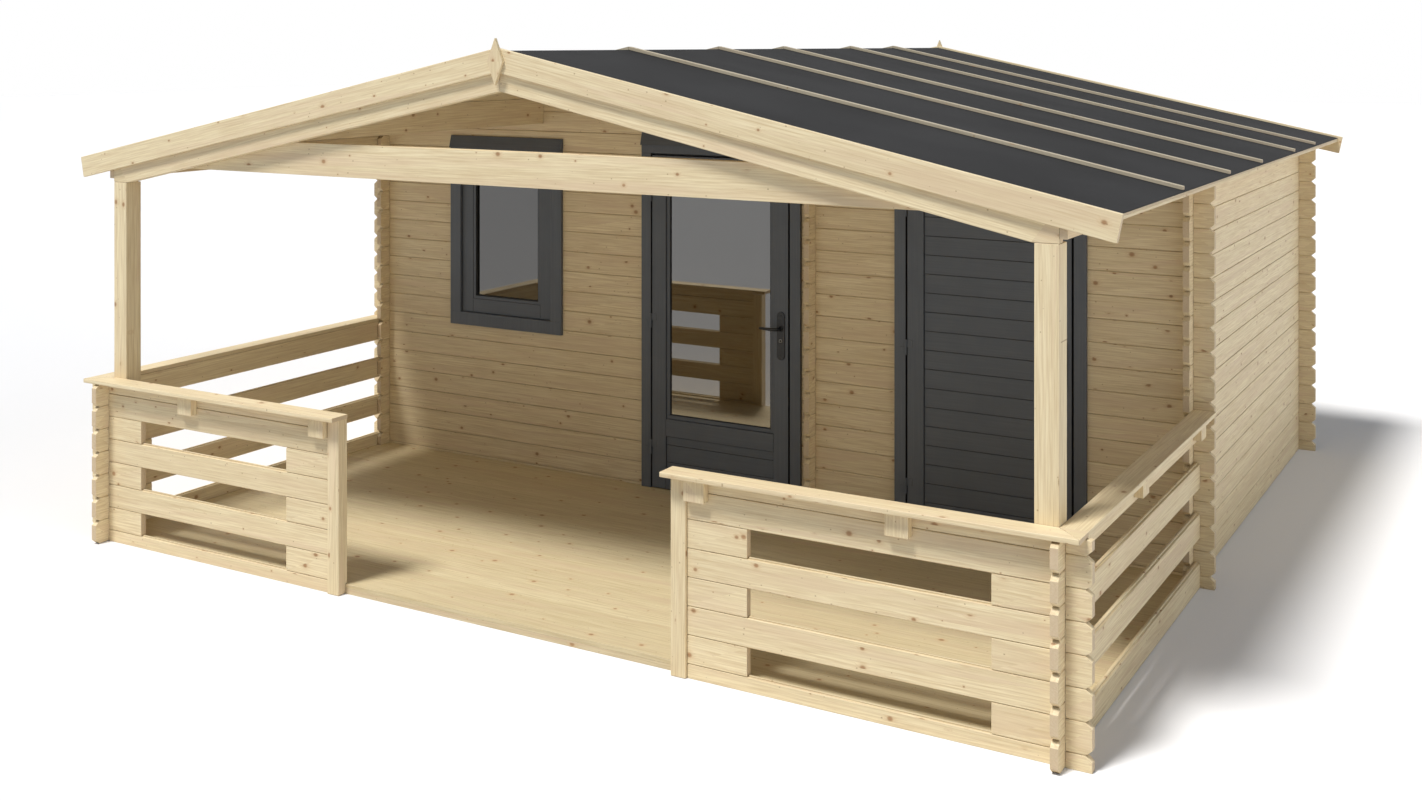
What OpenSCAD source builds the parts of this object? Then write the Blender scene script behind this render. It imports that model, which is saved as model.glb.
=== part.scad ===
// Garden log cabin with a store room and a covered front veranda.
// The walls are stacks of notched logs that lock into each other at every corner.
// X runs across the front, Y runs from the veranda to the rear, Z is up from the ground.

/* [Logs] */
// Thickness of a wall log
log_t = 30; // [24:1:40]
// Height that one log adds to a wall
log_h = 113; // [100:1:126]
// Width and depth of the bevel along a log's edges
log_bevel = 4; // [2:0.5:6]
// Length of the slanted cut at the corner of a log's end
end_cut_l = 24; // [14:1:30]
// Height of the slanted cut at the corner of a log's end
end_cut_h = 20; // [12:1:26]
// Clearance between pieces that lie against each other
seat_gap = 0.4; // [0.2:0.1:0.6]
// Reach of the front and rear logs past the side walls
cross_reach = 94; // [70:1:120]
// Reach of the side and partition logs past the front and rear walls
side_reach = 78; // [60:1:100]

/* [Cabin] */
// Width over the side walls
cabin_w = 4840; // [4600:10:5200]
// Depth over the front and rear walls
cabin_d = 2813; // [2500:1:3200]
// Depth of the veranda, from the railing's front face to the front wall
veranda_d = 2029; // [1800:1:2400]
// Number of logs in a side wall
side_courses = 17; // [17:1:19]

/* [Floor] */
// Height of the bearers under the floor
bearer_h = 24; // [18:1:40]
// Width of a bearer
bearer_w = 60; // [40:1:80]
// Thickness of the floor boards
deck_t = 20; // [16:1:28]

/* [Roof] */
// Slope of the roof in degrees
roof_pitch = 11.9; // [10:0.1:14]
// Thickness of the roof boards
roof_t = 19; // [16:1:24]
// Thickness of the roofing felt
felt_t = 3; // [2:0.5:5]
// Reach of the roof past the side walls
eave_over = 225; // [180:1:260]
// Reach of the roof in front of the veranda posts
front_over = 20; // [20:1:60]
// Reach of the roof behind the rear wall
rear_over = 171; // [140:1:200]
// How far the roof boards and the felt stop short of the barge boards' ends
board_stop = 28; // [20:1:36]
// How far a batten stops short of the felt's edge
batten_stop = 10; // [6:1:20]
// Width of the battens that hold the felt
batten_w = 28; // [20:1:36]
// Height of the battens that hold the felt
batten_h = 15; // [10:1:20]
// Depth of the barge boards
barge_d = 103; // [90:1:120]
// Thickness of the barge boards
barge_t = 20; // [16:1:22]
// Rise of the barge boards above the felt
barge_rise = 12; // [8:1:16]
// Width of the ridge finial
finial_w = 82; // [60:1:90]
// Height of the ridge finial
finial_h = 201; // [180:1:230]
// Thickness of the ridge finial
finial_t = 15; // [12:1:20]
// Rise of the ridge finial above the barge boards
finial_rise = 42; // [30:1:60]

/* [Roof frame] */
// Side of the square veranda posts
post_w = 90; // [80:1:100]
// Thickness of the rafters, the tie beam and the purlins
beam_t = 45; // [40:1:50]
// Plumb depth of the front rafters
rafter_d = 151; // [135:1:165]
// Drop of the veranda posts' tops below the roof at the cabin's side
post_drop = 130; // [116:1:145]
// Height of the tie beam
tie_h = 151; // [130:1:160]
// Drop of the tie beam's top below the ridge
tie_drop = 406; // [390:1:420]
// Depth of the ridge purlin
ridge_purlin_d = 138; // [120:1:150]

/* [Railing] */
// Number of log courses in the railing
rail_courses = 7; // [7:2:7]
// Length of a railing's corner block, from the inner corner
corner_block_l = 235; // [200:1:280]
// Length of a railing's block beside an entrance post
entry_block_l = 267; // [240:1:300]
// Width of the entrance between the entrance posts
entry_w = 1746; // [1600:1:1900]
// Width of an entrance post
entry_post_w = 68; // [60:1:80]
// Reach of an entrance post in front of the railing and behind it
entry_post_reach = 13; // [8:1:20]
// Thickness of the cap rail
cap_t = 20; // [16:1:26]
// Reach of the cap rail outside the railing
cap_reach = 72; // [60:1:80]
// Reach of the cap rail into the entrance, past the post
cap_end_reach = 16; // [5:1:20]
// Width of a cap bracket
bracket_w = 92; // [70:1:100]
// Depth of a cap bracket
bracket_d = 37; // [30:1:50]
// Height of a cap bracket
bracket_h = 89; // [80:1:108]

/* [Doors and window] */
// Width over a door's casing boards
door_casing_w = 977; // [940:1:1000]
// Width over the window's casing boards
window_casing_w = 802; // [760:1:840]
// Number of the first log that the window cuts
window_row = 8; // [7:1:8]
// Number of logs that the window cuts
window_rows = 9; // [8:1:9]
// Width of a door's casing boards
casing_w = 60; // [54:1:66]
// Width of the window's casing boards
window_board_w = 75; // [60:1:84]
// Reach of a casing board in front of the wall
casing_d = 20; // [16:1:24]
// Overlap of a casing board on the wall
casing_lap = 28; // [22:1:34]
// Room left above the door frames for the logs to settle
door_settle = 67; // [55:1:75]
// Room left above the window frame for the logs to settle
window_settle = 12; // [10:1:16]
// Reach of the frames past the wall's inner face
frame_inner = 15; // [10:1:20]
// Width of the stop behind a leaf
stop_w = 14; // [10:1:18]
// Clearance round a door leaf
door_gap = 6.5; // [6:0.5:8]
// Groove round the window sash
sash_gap = 4; // [3:0.5:6]
// Set-back of the window sash behind its casing
sash_set = 17; // [10:1:20]
// Width of the sash's stiles and rails
sash_stile_w = 78; // [70:1:90]
// Width of the bead in the sash
sash_bead_w = 16; // [12:1:20]
// Set-back of the bead in the sash
sash_bead_set = 2; // [1:0.5:4]
// Depth of the sash's pane behind the sash's face
sash_pane_set = 20; // [16:1:24]
// Thickness of a leaf
leaf_t = 40; // [36:1:44]
// Width of a door's stiles and rails
stile_w = 90; // [80:1:100]
// Width of the bead round a door's glass
bead_w = 20; // [14:1:26]
// Set-back of the bead and the boards behind a door's face
bead_set = 9; // [6:1:12]
// Depth of a door's pane behind the door's face
pane_set = 18; // [14:1:24]
// Thickness of the glass
glass_t = 4; // [3:0.5:6]
// Height of the glazed door's lower panel opening
panel_h = 197; // [160:1:220]
// Height of the glazed door's middle rail
mid_rail_h = 93; // [80:1:115]
// Height of a board in the doors
door_board_h = 94.7; // [80:0.1:100]
// Height of the topmost board in the glazed door's panel
panel_top_h = 48; // [40:1:80]
// Height of the topmost board in the store door
store_top_h = 69; // [40:1:80]
// Thickness of a board in the doors
door_board_t = 18; // [14:1:22]
// Height of the drip caps above the casing
drip_rise = 56; // [46:1:64]
// Overlap of the drip caps in front of the casing
drip_lap = 16; // [10:1:22]
// Thickness of the drip caps
drip_t = 12; // [8:1:16]
// Reach of the drip caps past each end of the casing
drip_over = 2; // [1:1:14]

/* [Door fittings] */
// Radius of a hinge knuckle
knuckle_r = 6; // [5:0.5:7]
// Length of one hinge knuckle
knuckle_l = 38; // [30:1:46]
// Radius of a hinge pin
pin_r = 3.5; // [3:0.1:4]
// Running clearance round a pin or spindle
run_gap = 0.1; // [0.05:0.01:0.1]
// Gap between two hinge knuckles
knuckle_gap = 0.5; // [0.3:0.1:1]
// Width of a hinge flap
flap_w = 34; // [28:1:40]
// Thickness of a hinge flap
flap_t = 2; // [1.5:0.5:3]
// Height of the lever's spindle above the ground
lever_z = 990; // [950:1:1050]
// Length of the lever
lever_l = 118; // [100:1:130]
// Radius of the lever's bar
lever_r = 9; // [8:0.5:11]
// Reach of the lever in front of the door
lever_reach = 52; // [45:1:60]
// Radius of the lever's spindle
spindle_r = 7; // [6:0.5:8]
// Width of a handle plate
plate_w = 44; // [40:1:50]
// Height of a handle plate
plate_h = 252; // [230:1:270]
// Thickness of a handle plate
plate_t = 6; // [4:1:8]
// Height of the plate above the spindle
plate_rise = 86; // [75:1:95]
// Drop of the keyhole below the spindle
key_drop = 65; // [55:1:75]
// Radius of the keyhole
key_r = 5; // [4:0.5:6]

/* [Hidden] */
// Overrun that carries every cut past the face it opens
over = 5;
$fn = 48;

// Colours of the materials
spruce = "#e3d0a4";
deal = "#d9c79a";
anthracite = "#3e4143";
felt_black = "#424242";
glazing = "#8d9396";
black_metal = "#2a2b2c";

// Plan: the part stands on the middle of its own length
half_w = cabin_w / 2;
rail_out = half_w + log_t;
part_len = side_reach + veranda_d + cabin_d + rear_over + finial_t;
rail_y = side_reach - part_len / 2;
rail_back = rail_y + log_t;
front_y = rail_y + veranda_d;
rear_y = front_y + cabin_d - log_t;
roof_y0 = rail_back - front_over;
roof_y1 = rear_y + log_t + rear_over;
left_x0 = -half_w;
right_x0 = half_w - log_t;

// Places along the front wall: the width that the logs and casings leave is shared out between them
front_shares = [0.247, 0.272, 0.0245, 0.2258];
spare_w = cabin_w - 3 * log_t - 2 * door_casing_w - window_casing_w;
window_x = left_x0 + log_t + front_shares[0] * spare_w + window_casing_w / 2;
glazed_x = window_x + front_shares[1] * spare_w + (window_casing_w + door_casing_w) / 2;
partition_x0 = glazed_x + front_shares[2] * spare_w + door_casing_w / 2;
store_x = partition_x0 + log_t + front_shares[3] * spare_w + door_casing_w / 2;

// Roof planes
slope = tan(roof_pitch);
plumb_share = 1 / cos(roof_pitch);
eave_x = half_w + eave_over;
roof_edge_x = eave_x - board_stop;
ridge_under = side_courses * log_h + (half_w - log_t / 2) * slope;
board_rise = roof_t * plumb_share;
felt_rise = board_rise + felt_t * plumb_share;
barge_top = felt_rise + barge_rise * plumb_share;
function under(x) = ridge_under - abs(x) * slope;

// Log courses: front and rear logs centre on whole courses, side logs on half courses
full_half_share = 1 / 2;
core_share = 1 / 4;
top_row = floor(ridge_under / log_h + full_half_share);
head_row = side_courses;
cross_rows = [for (k = [0 : head_row]) k];
gable_rows = [for (k = [head_row + 1 : top_row]) k];
side_rows = [for (j = [1 : side_courses]) j - full_half_share];
partition_rows = [for (j = [1 : ceil(under(partition_x0) / log_h)]) j - full_half_share];
head_z = (head_row + full_half_share) * log_h;
window_z0 = (window_row - full_half_share) * log_h;
window_z1 = window_z0 + window_rows * log_h;

// Frames in the front wall
deck_top = bearer_h + deck_t;
door_hole_w = door_casing_w - 2 * casing_lap;
door_clear_w = door_casing_w - 2 * casing_w;
door_frame_z1 = head_z - door_settle;
door_clear_z1 = door_frame_z1 - casing_w + casing_lap;
leaf_w = door_clear_w - 2 * door_gap;
leaf_z0 = deck_top + door_gap;
leaf_z1 = door_clear_z1 - door_gap;
leaf_h = leaf_z1 - leaf_z0;
leaf_y = front_y - casing_d;
window_hole_w = window_casing_w - 2 * casing_lap;
window_clear_w = window_casing_w - 2 * window_board_w;
window_frame_z1 = window_z1 - window_settle;
window_clear_z0 = window_z0 + window_board_w - casing_lap;
window_clear_z1 = window_frame_z1 - window_board_w + casing_lap;
sash_w = window_clear_w - 2 * sash_gap;
sash_h = window_clear_z1 - window_clear_z0 - 2 * sash_gap;
glazed_x0 = glazed_x - door_hole_w / 2;
glazed_x1 = glazed_x + door_hole_w / 2;
store_x0 = store_x - door_hole_w / 2;
store_x1 = store_x + door_hole_w / 2;
window_x0 = window_x - window_hole_w / 2;
window_x1 = window_x + window_hole_w / 2;

// Leaf openings and fittings
panel_z1 = stile_w + panel_h;
glass_z0 = panel_z1 + mid_rail_h;
glass_z1 = leaf_h - stile_w;
rebate_share = 1 / 2;
door_style = [stile_w, bead_w, bead_set, pane_set];
sash_style = [sash_stile_w, sash_bead_w, sash_bead_set, sash_pane_set];
hinge_shares = [0.12, 0.5, 0.88];
hinge_y = leaf_y - knuckle_r;
lever_x = leaf_w - stile_w / 2;
lever_up = lever_z - leaf_z0;
board_groove = log_bevel;

// Roof frame
post_top = under(half_w) - post_drop;
tie_top = ridge_under - tie_drop;
purlin_share = 0.519;
purlin_x = purlin_share * half_w;
frame_y0 = rail_back + beam_t;
batten_shares = [0.206, 0.38, 0.528, 0.708, 0.84];

// Railing
rail_top = rail_courses * log_h;
rail_rows = [for (k = [0 : rail_courses]) k];
entry_x = entry_w / 2 + entry_post_w;
gap_x0 = entry_x + entry_block_l;
gap_x1 = half_w - corner_block_l;
front_bracket_shares = [0.033, 0.596];
side_bracket_shares = [0.08, 0.46, 0.955];

// Everything below the roof boards between two places along the cabin
module under_roof(y0, y1) {
    translate([0, y1, 0]) rotate([90, 0, 0]) linear_extrude(y1 - y0)
        polygon([[-eave_x, 0], [eave_x, 0], [eave_x, under(eave_x)], [0, ridge_under],
            [-eave_x, under(eave_x)]]);
}

// A slab that follows one roof slope, between two heights above the roof boards' underside
module slope_slab(x0, x1, rise0, rise1, y0, y1) {
    translate([0, y1, 0]) rotate([90, 0, 0]) linear_extrude(y1 - y0)
        polygon([[x0, under(x0) + rise0], [x1, under(x1) + rise0],
            [x1, under(x1) + rise1], [x0, under(x0) + rise1]]);
}

// Outline of a log seen from its side, with the end corners cut where an end is free
function log_side(a, b, lo, hi, free_a, free_b) = concat(
    free_a ? [[a, lo + end_cut_h], [a + end_cut_l, lo]] : [[a, lo]],
    free_b ? [[b - end_cut_l, lo], [b, lo + end_cut_h]] : [[b, lo]],
    free_b ? [[b, hi - end_cut_h], [b - end_cut_l, hi]] : [[b, hi]],
    free_a ? [[a + end_cut_l, hi], [a, hi - end_cut_h]] : [[a, hi]]);

// One log along X from a to b, middle at height mid, notched above and below at each crossing.
// Its children, if any, are what it is trimmed to.
module log_piece(a, b, mid, crossings, free_a, free_b) {
    lo = mid - log_h / 2 + seat_gap / 2;
    hi = mid + log_h / 2 - seat_gap / 2;
    core = log_h * core_share - seat_gap / 2;
    difference() {
        intersection() {
            translate([0, log_t, 0]) rotate([90, 0, 0]) linear_extrude(log_t)
                polygon(log_side(a, b, lo, hi, free_a, free_b));
            translate([a, 0, 0]) rotate([90, 0, 90]) linear_extrude(b - a)
                polygon([[log_bevel, lo], [log_t - log_bevel, lo], [log_t, lo + log_bevel],
                    [log_t, hi - log_bevel], [log_t - log_bevel, hi], [log_bevel, hi],
                    [0, hi - log_bevel], [0, lo + log_bevel]]);
        }
        for (p = crossings) {
            translate([p - seat_gap, -over, mid + core])
                cube([log_t + 2 * seat_gap, log_t + 2 * over, log_h]);
            translate([p - seat_gap, -over, mid - core - log_h])
                cube([log_t + 2 * seat_gap, log_t + 2 * over, log_h]);
        }
    }
}

// A run of logs along X whose front face is at y, trimmed to the ground and the roof
module cross_logs(y, a, b, rows, crossings, free_a, free_b) {
    for (k = rows)
        intersection() {
            translate([0, y, 0]) log_piece(a, b, k * log_h, crossings, free_a, free_b);
            under_roof(y - over, y + log_t + over);
        }
}

// A run of logs along Y whose left face is at x, trimmed to the ground and the roof
module side_logs(x, a, b, rows, crossings, free_a, free_b) {
    for (j = rows)
        intersection() {
            translate([x + log_t, 0, 0]) rotate([0, 0, 90])
                log_piece(a, b, j * log_h, crossings, free_a, free_b);
            under_roof(a - over, b + over);
        }
}

// Seats that the purlins need in a gable
module purlin_seats(y) {
    for (x = [-purlin_x, 0, purlin_x])
        translate([x - beam_t / 2 - seat_gap, y - over,
            (x == 0 ? ridge_under - ridge_purlin_d : tie_top) - seat_gap])
                cube([beam_t + 2 * seat_gap, log_t + 2 * over, ridge_under]);
}

module gable(y) {
    difference() {
        cross_logs(y, -eave_x, eave_x, gable_rows, [partition_x0], false, false);
        purlin_seats(y);
    }
}

module side_wall(x) {
    side_logs(x, front_y - side_reach, rear_y + log_t + side_reach, side_rows, [front_y, rear_y], true, true);
}

module left_wall() color(spruce) side_wall(left_x0);

module right_wall() color(spruce) side_wall(right_x0);

module partition_wall() color(spruce)
    side_logs(partition_x0, front_y - side_reach, rear_y + log_t + side_reach, partition_rows,
        [front_y, rear_y], true, true);

module rear_wall() color(spruce) {
    cross_logs(rear_y, -half_w - cross_reach, half_w + cross_reach, cross_rows,
        [left_x0, partition_x0, right_x0], true, true);
    gable(rear_y);
}

module front_wall_left() color(spruce) {
    low = [for (k = cross_rows) if (k < window_row || k >= window_row + window_rows) k];
    beside = [for (k = cross_rows) if (k >= window_row && k < window_row + window_rows) k];
    cross_logs(front_y, -half_w - cross_reach, glazed_x0, low, [left_x0], true, false);
    cross_logs(front_y, -half_w - cross_reach, window_x0, beside, [left_x0], true, false);
    cross_logs(front_y, window_x1, glazed_x0, beside, [], false, false);
}

module front_wall_middle() color(spruce)
    cross_logs(front_y, glazed_x1, store_x0, cross_rows, [partition_x0], false, false);

module front_wall_right() color(spruce)
    cross_logs(front_y, store_x1, half_w + cross_reach, cross_rows, [right_x0], false, true);

module front_gable() color(spruce) gable(front_y);

// Bearers along Y under a floor, spread evenly between two sides
module bearer_row(x0, x1, y0, y1, count) {
    for (i = [0 : count - 1])
        translate([x0 + (x1 - x0 - bearer_w) * i / (count - 1), y0, 0])
            cube([bearer_w, y1 - y0, bearer_h - seat_gap]);
}

// Room for the entrance posts in the front edge of the floor
module entrance_notches() {
    for (side = [0, 1])
        mirror([side, 0, 0]) translate([entry_w / 2 - seat_gap, rail_back - over, -over])
            cube([entry_post_w + 2 * seat_gap, over + entry_post_reach + seat_gap, deck_top + 2 * over]);
}

module floor_bearers() color(deal) {
    deck_x = half_w - log_t - bearer_w;
    room_y0 = front_y + log_t + seat_gap;
    difference() {
        translate([-half_w + seat_gap, rail_back + seat_gap, 0])
            cube([cabin_w - 2 * seat_gap, bearer_w, bearer_h - seat_gap]);
        entrance_notches();
    }
    bearer_row(-deck_x, deck_x, rail_back + bearer_w + 2 * seat_gap, front_y - side_reach - seat_gap, 8);
    bearer_row(left_x0 + log_t + seat_gap, partition_x0 - seat_gap, room_y0, rear_y - seat_gap, 5);
    bearer_row(partition_x0 + log_t + seat_gap, right_x0 - seat_gap, room_y0, rear_y - seat_gap, 4);
}

module veranda_deck() color(deal)
    difference() {
        translate([-half_w + seat_gap, rail_back + seat_gap, bearer_h])
            cube([cabin_w - 2 * seat_gap, front_y - rail_back - 2 * seat_gap, deck_t]);
        for (x = [left_x0, partition_x0, right_x0])
            translate([x - seat_gap, front_y - side_reach - seat_gap, bearer_h - over])
                cube([log_t + 2 * seat_gap, side_reach + over, deck_t + 2 * over]);
        entrance_notches();
    }

module cabin_floor() color(deal)
    for (room = [[left_x0 + log_t, partition_x0], [partition_x0 + log_t, right_x0]])
        translate([room[0] + seat_gap, front_y + log_t + seat_gap, bearer_h])
            cube([room[1] - room[0] - 2 * seat_gap, rear_y - front_y - log_t - 2 * seat_gap, deck_t]);

// Sections of a frame member whose casing board is w wide: casing board, lining in the wall and stop.
// The clear opening is on the positive side of x, and y runs into the cabin.
module casing_section(w) {
    translate([-w, -casing_d]) square([w, casing_d]);
}

module lining_section(w) {
    lining = w - casing_lap - seat_gap;
    translate([-lining, -casing_d]) square([lining, casing_d + log_t + frame_inner]);
}

module stop_section(w, stop_y) {
    lining = w - casing_lap - seat_gap;
    translate([-lining, stop_y]) square([lining + stop_w, log_t + frame_inner - stop_y]);
}

// Both legs of a frame with the given clear width, from z0 to z1
module frame_legs(clear_w, w, stop_y, z0, z1) {
    for (side = [0, 1])
        mirror([side, 0, 0]) translate([-clear_w / 2, 0, z0]) linear_extrude(z1 - z0) {
            casing_section(w);
            lining_section(w);
            stop_section(w, stop_y);
        }
}

// Lays a frame section along X over a middle length l, facing up
module along_bar(l) {
    translate([-l / 2, 0, 0]) rotate([90, 0, 90]) linear_extrude(l) rotate(90) mirror([0, 1]) children();
}

// Level frame member under or over an opening: the board laps the wall, the stop fits between the legs
module frame_bar(clear_w, w, stop_y) {
    along_bar(clear_w + 2 * w) casing_section(w);
    along_bar(clear_w + 2 * (w - casing_lap - seat_gap)) lining_section(w);
    along_bar(clear_w - 2 * (stop_w + seat_gap)) stop_section(w, stop_y);
}

module door_casing(x) {
    stop_y = leaf_t - casing_d + door_gap;
    translate([x, front_y, 0]) {
        frame_legs(door_clear_w, casing_w, stop_y, deck_top, door_clear_z1 - seat_gap);
        translate([0, 0, door_clear_z1]) mirror([0, 0, 1]) frame_bar(door_clear_w, casing_w, stop_y);
        translate([-door_hole_w / 2 + seat_gap, seat_gap, 0])
            cube([door_hole_w - 2 * seat_gap, log_t - 2 * seat_gap, deck_top - seat_gap]);
    }
}

module glazed_door_casing() color(anthracite) door_casing(glazed_x);

module store_door_casing() color(anthracite) door_casing(store_x);

module window_casing() color(anthracite) {
    w = window_board_w;
    stop_y = leaf_t - casing_d + sash_set;
    translate([window_x, front_y, 0]) {
        frame_legs(window_clear_w, w, stop_y, window_clear_z0 + seat_gap, window_clear_z1 - seat_gap);
        translate([0, 0, window_clear_z1]) mirror([0, 0, 1]) frame_bar(window_clear_w, w, stop_y);
        translate([0, 0, window_clear_z0]) frame_bar(window_clear_w, w, stop_y);
    }
}

// Sloping board that sheds rain over a casing
module drip_cap(x, w, casing_top) {
    translate([x - w / 2 - drip_over, front_y, casing_top]) rotate([90, 0, 90])
        linear_extrude(w + 2 * drip_over)
            polygon([[0, 0], [0, drip_rise], [-drip_t, drip_rise], [-casing_d - drip_t, -drip_lap],
                [-casing_d, -drip_lap], [-casing_d, 0]]);
}

module drip_caps() color(anthracite)
    intersection() {
        union() {
            drip_cap(glazed_x, door_casing_w, door_clear_z1 + casing_w);
            drip_cap(store_x, door_casing_w, door_clear_z1 + casing_w);
            drip_cap(window_x, window_casing_w, window_clear_z1 + window_board_w);
        }
        translate([0, 0, -seat_gap]) under_roof(front_y - casing_d - drip_t - over, front_y + over);
    }

// A leaf standing on its lower left corner. Its style gives the stile, the bead, the set-back and the pane;
// each opening gives its lower and upper edge and tells if it is glazed.
module framed_leaf(w, h, style, openings) {
    stile = style[0];
    difference() {
        cube([w, leaf_t, h]);
        for (o = openings) {
            inset = o[2] ? style[1] : 0;
            rebate = o[2] ? rebate_share * style[1] : 0;
            edge = stile + inset;
            translate([stile, -over, o[0]])
                cube([w - 2 * stile, style[2] + over, o[1] - o[0]]);
            translate([edge, -over, o[0] + inset])
                cube([w - 2 * edge, leaf_t + 2 * over, o[1] - o[0] - 2 * inset]);
            if (o[2])
                translate([edge - rebate, style[3] - seat_gap, o[0] + inset - rebate])
                    cube([w - 2 * (edge - rebate), glass_t + 2 * seat_gap,
                        o[1] - o[0] - 2 * (inset - rebate)]);
        }
    }
}

// Pane held in the rebate of a leaf's glazed opening
module pane(w, style, z0, z1) {
    low = style[1] * (1 - rebate_share) + seat_gap;
    edge = style[0] + low;
    translate([edge, style[3], z0 + low])
        cube([w - 2 * edge, glass_t, z1 - z0 - 2 * low]);
}

// Boards lying across a leaf between its stiles, grooved at every seam below the topmost board
module leaf_boards(w, z0, z1, top_h) {
    count = ceil((z1 - top_h - z0) / door_board_h);
    difference() {
        translate([stile_w + seat_gap, bead_set, z0 + seat_gap])
            cube([w - 2 * (stile_w + seat_gap), door_board_t, z1 - z0 - 2 * seat_gap]);
        for (i = [0 : count - 1])
            translate([stile_w, bead_set, z1 - top_h - i * door_board_h]) rotate([45, 0, 0])
                translate([0, -board_groove / 2, -board_groove / 2])
                    cube([w - 2 * stile_w, board_groove, board_groove]);
    }
}

// Handle plate with round ends, a spindle hole and a keyhole, standing on a leaf's face
module handle_plate() {
    r = plate_w / 2;
    translate([lever_x, 0, lever_up]) rotate([90, 0, 0]) linear_extrude(plate_t)
        difference() {
            union() {
                translate([0, plate_rise - r]) circle(r);
                translate([0, plate_rise - plate_h + r]) circle(r);
                translate([-r, plate_rise - plate_h + r]) square([plate_w, plate_h - plate_w]);
            }
            circle(spindle_r + run_gap);
            translate([0, -key_drop]) circle(key_r);
            translate([-key_r / 2, -key_drop - 3 * key_r]) square([key_r, 3 * key_r]);
        }
}

module handle_plates(x0) {
    translate([x0, leaf_y, leaf_z0]) {
        handle_plate();
        translate([0, leaf_t, 0]) mirror([0, 1, 0]) handle_plate();
    }
}

// Room for the spindle and the key through a leaf's lock stile
module lock_holes() {
    translate([lever_x, leaf_t + over, lever_up]) rotate([90, 0, 0])
        cylinder(r = spindle_r + run_gap, h = leaf_t + 2 * over);
    translate([lever_x, leaf_t + over, lever_up - key_drop]) rotate([90, 0, 0])
        cylinder(r = key_r, h = leaf_t + 2 * over);
}

// Lever bars on both faces of a leaf, joined by the spindle through it
module lever(x0) {
    arm = lever_l - 2 * lever_r;
    translate([x0 + lever_x, leaf_y, leaf_z0 + lever_up]) {
        translate([0, leaf_t + lever_reach, 0]) rotate([90, 0, 0])
            cylinder(r = spindle_r, h = leaf_t + 2 * lever_reach);
        for (y = [-lever_reach, leaf_t + lever_reach])
            translate([0, y, 0]) {
                sphere(lever_r);
                rotate([0, -90, 0]) cylinder(r = lever_r, h = arm);
                translate([-arm, 0, 0]) sphere(lever_r);
            }
    }
}

// Place of each hinge along a door's hinge line
module at_hinges(x) {
    for (share = hinge_shares)
        translate([x - door_clear_w / 2 + door_gap / 2, hinge_y, leaf_z0 + share * leaf_h]) children();
}

// Lower knuckle with its pin and the flap on the casing
module frame_hinge() {
    translate([0, 0, -knuckle_l]) cylinder(r = knuckle_r, h = knuckle_l);
    cylinder(r = pin_r, h = knuckle_l);
    translate([-flap_w, knuckle_r - flap_t, -knuckle_l]) cube([flap_w, flap_t, knuckle_l]);
}

// Upper knuckle that turns on the pin, with the flap on the leaf
module leaf_hinge() {
    difference() {
        union() {
            translate([0, 0, knuckle_gap]) cylinder(r = knuckle_r, h = knuckle_l);
            translate([0, knuckle_r - flap_t, knuckle_gap]) cube([flap_w, flap_t, knuckle_l]);
        }
        translate([0, 0, -over]) cylinder(r = pin_r + run_gap, h = knuckle_l + 2 * over);
    }
}

module frame_hinges() color(black_metal)
    for (x = [glazed_x, store_x]) at_hinges(x) frame_hinge();

glazed_leaf_x = glazed_x - leaf_w / 2;
store_leaf_x = store_x - leaf_w / 2;

module glazed_door_leaf() color(anthracite)
    translate([glazed_leaf_x, leaf_y, leaf_z0])
        difference() {
            framed_leaf(leaf_w, leaf_h, door_style, [[stile_w, panel_z1, false], [glass_z0, glass_z1, true]]);
            lock_holes();
        }

module glazed_door_glass() color(glazing)
    translate([glazed_leaf_x, leaf_y, leaf_z0]) pane(leaf_w, door_style, glass_z0, glass_z1);

module glazed_door_panel() color(anthracite)
    translate([glazed_leaf_x, leaf_y, leaf_z0]) leaf_boards(leaf_w, stile_w, panel_z1, panel_top_h);

module glazed_door_plates() color(black_metal) handle_plates(glazed_leaf_x);

module glazed_door_lever() color(black_metal) lever(glazed_leaf_x);

module glazed_door_hinges() color(black_metal) at_hinges(glazed_x) leaf_hinge();

module store_door_leaf() color(anthracite)
    translate([store_leaf_x, leaf_y, leaf_z0])
        difference() {
            framed_leaf(leaf_w, leaf_h, door_style, [[stile_w, glass_z1, false]]);
            lock_holes();
        }

module store_door_boards() color(anthracite)
    translate([store_leaf_x, leaf_y, leaf_z0]) leaf_boards(leaf_w, stile_w, glass_z1, store_top_h);

module store_door_plates() color(black_metal) handle_plates(store_leaf_x);

module store_door_lever() color(black_metal) lever(store_leaf_x);

module store_door_hinges() color(black_metal) at_hinges(store_x) leaf_hinge();

module place_sash() {
    translate([window_x - sash_w / 2, leaf_y + sash_set, window_clear_z0 + sash_gap]) children();
}

module window_sash() color(anthracite)
    place_sash() framed_leaf(sash_w, sash_h, sash_style, [[sash_stile_w, sash_h - sash_stile_w, true]]);

module window_glass() color(glazing)
    place_sash() pane(sash_w, sash_style, sash_stile_w, sash_h - sash_stile_w);

module veranda_posts() color(spruce)
    for (side = [0, 1])
        mirror([side, 0, 0]) translate([half_w - post_w - seat_gap, rail_back + seat_gap, deck_top])
            cube([post_w, post_w, post_top - deck_top - seat_gap]);

// Rafter pair with a plumb joint at the ridge and a level seat on each post
module front_rafters() color(spruce) {
    seat_x = (ridge_under - rafter_d - post_top) / slope;
    for (side = [0, 1])
        mirror([side, 0, 0]) translate([0, frame_y0, 0]) rotate([90, 0, 0])
            linear_extrude(beam_t - seat_gap)
                polygon([[seat_gap / 2, under(0) - rafter_d], [seat_x, post_top], [half_w, post_top],
                    [half_w, under(half_w) - seat_gap], [seat_gap / 2, under(0) - seat_gap]]);
}

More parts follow.
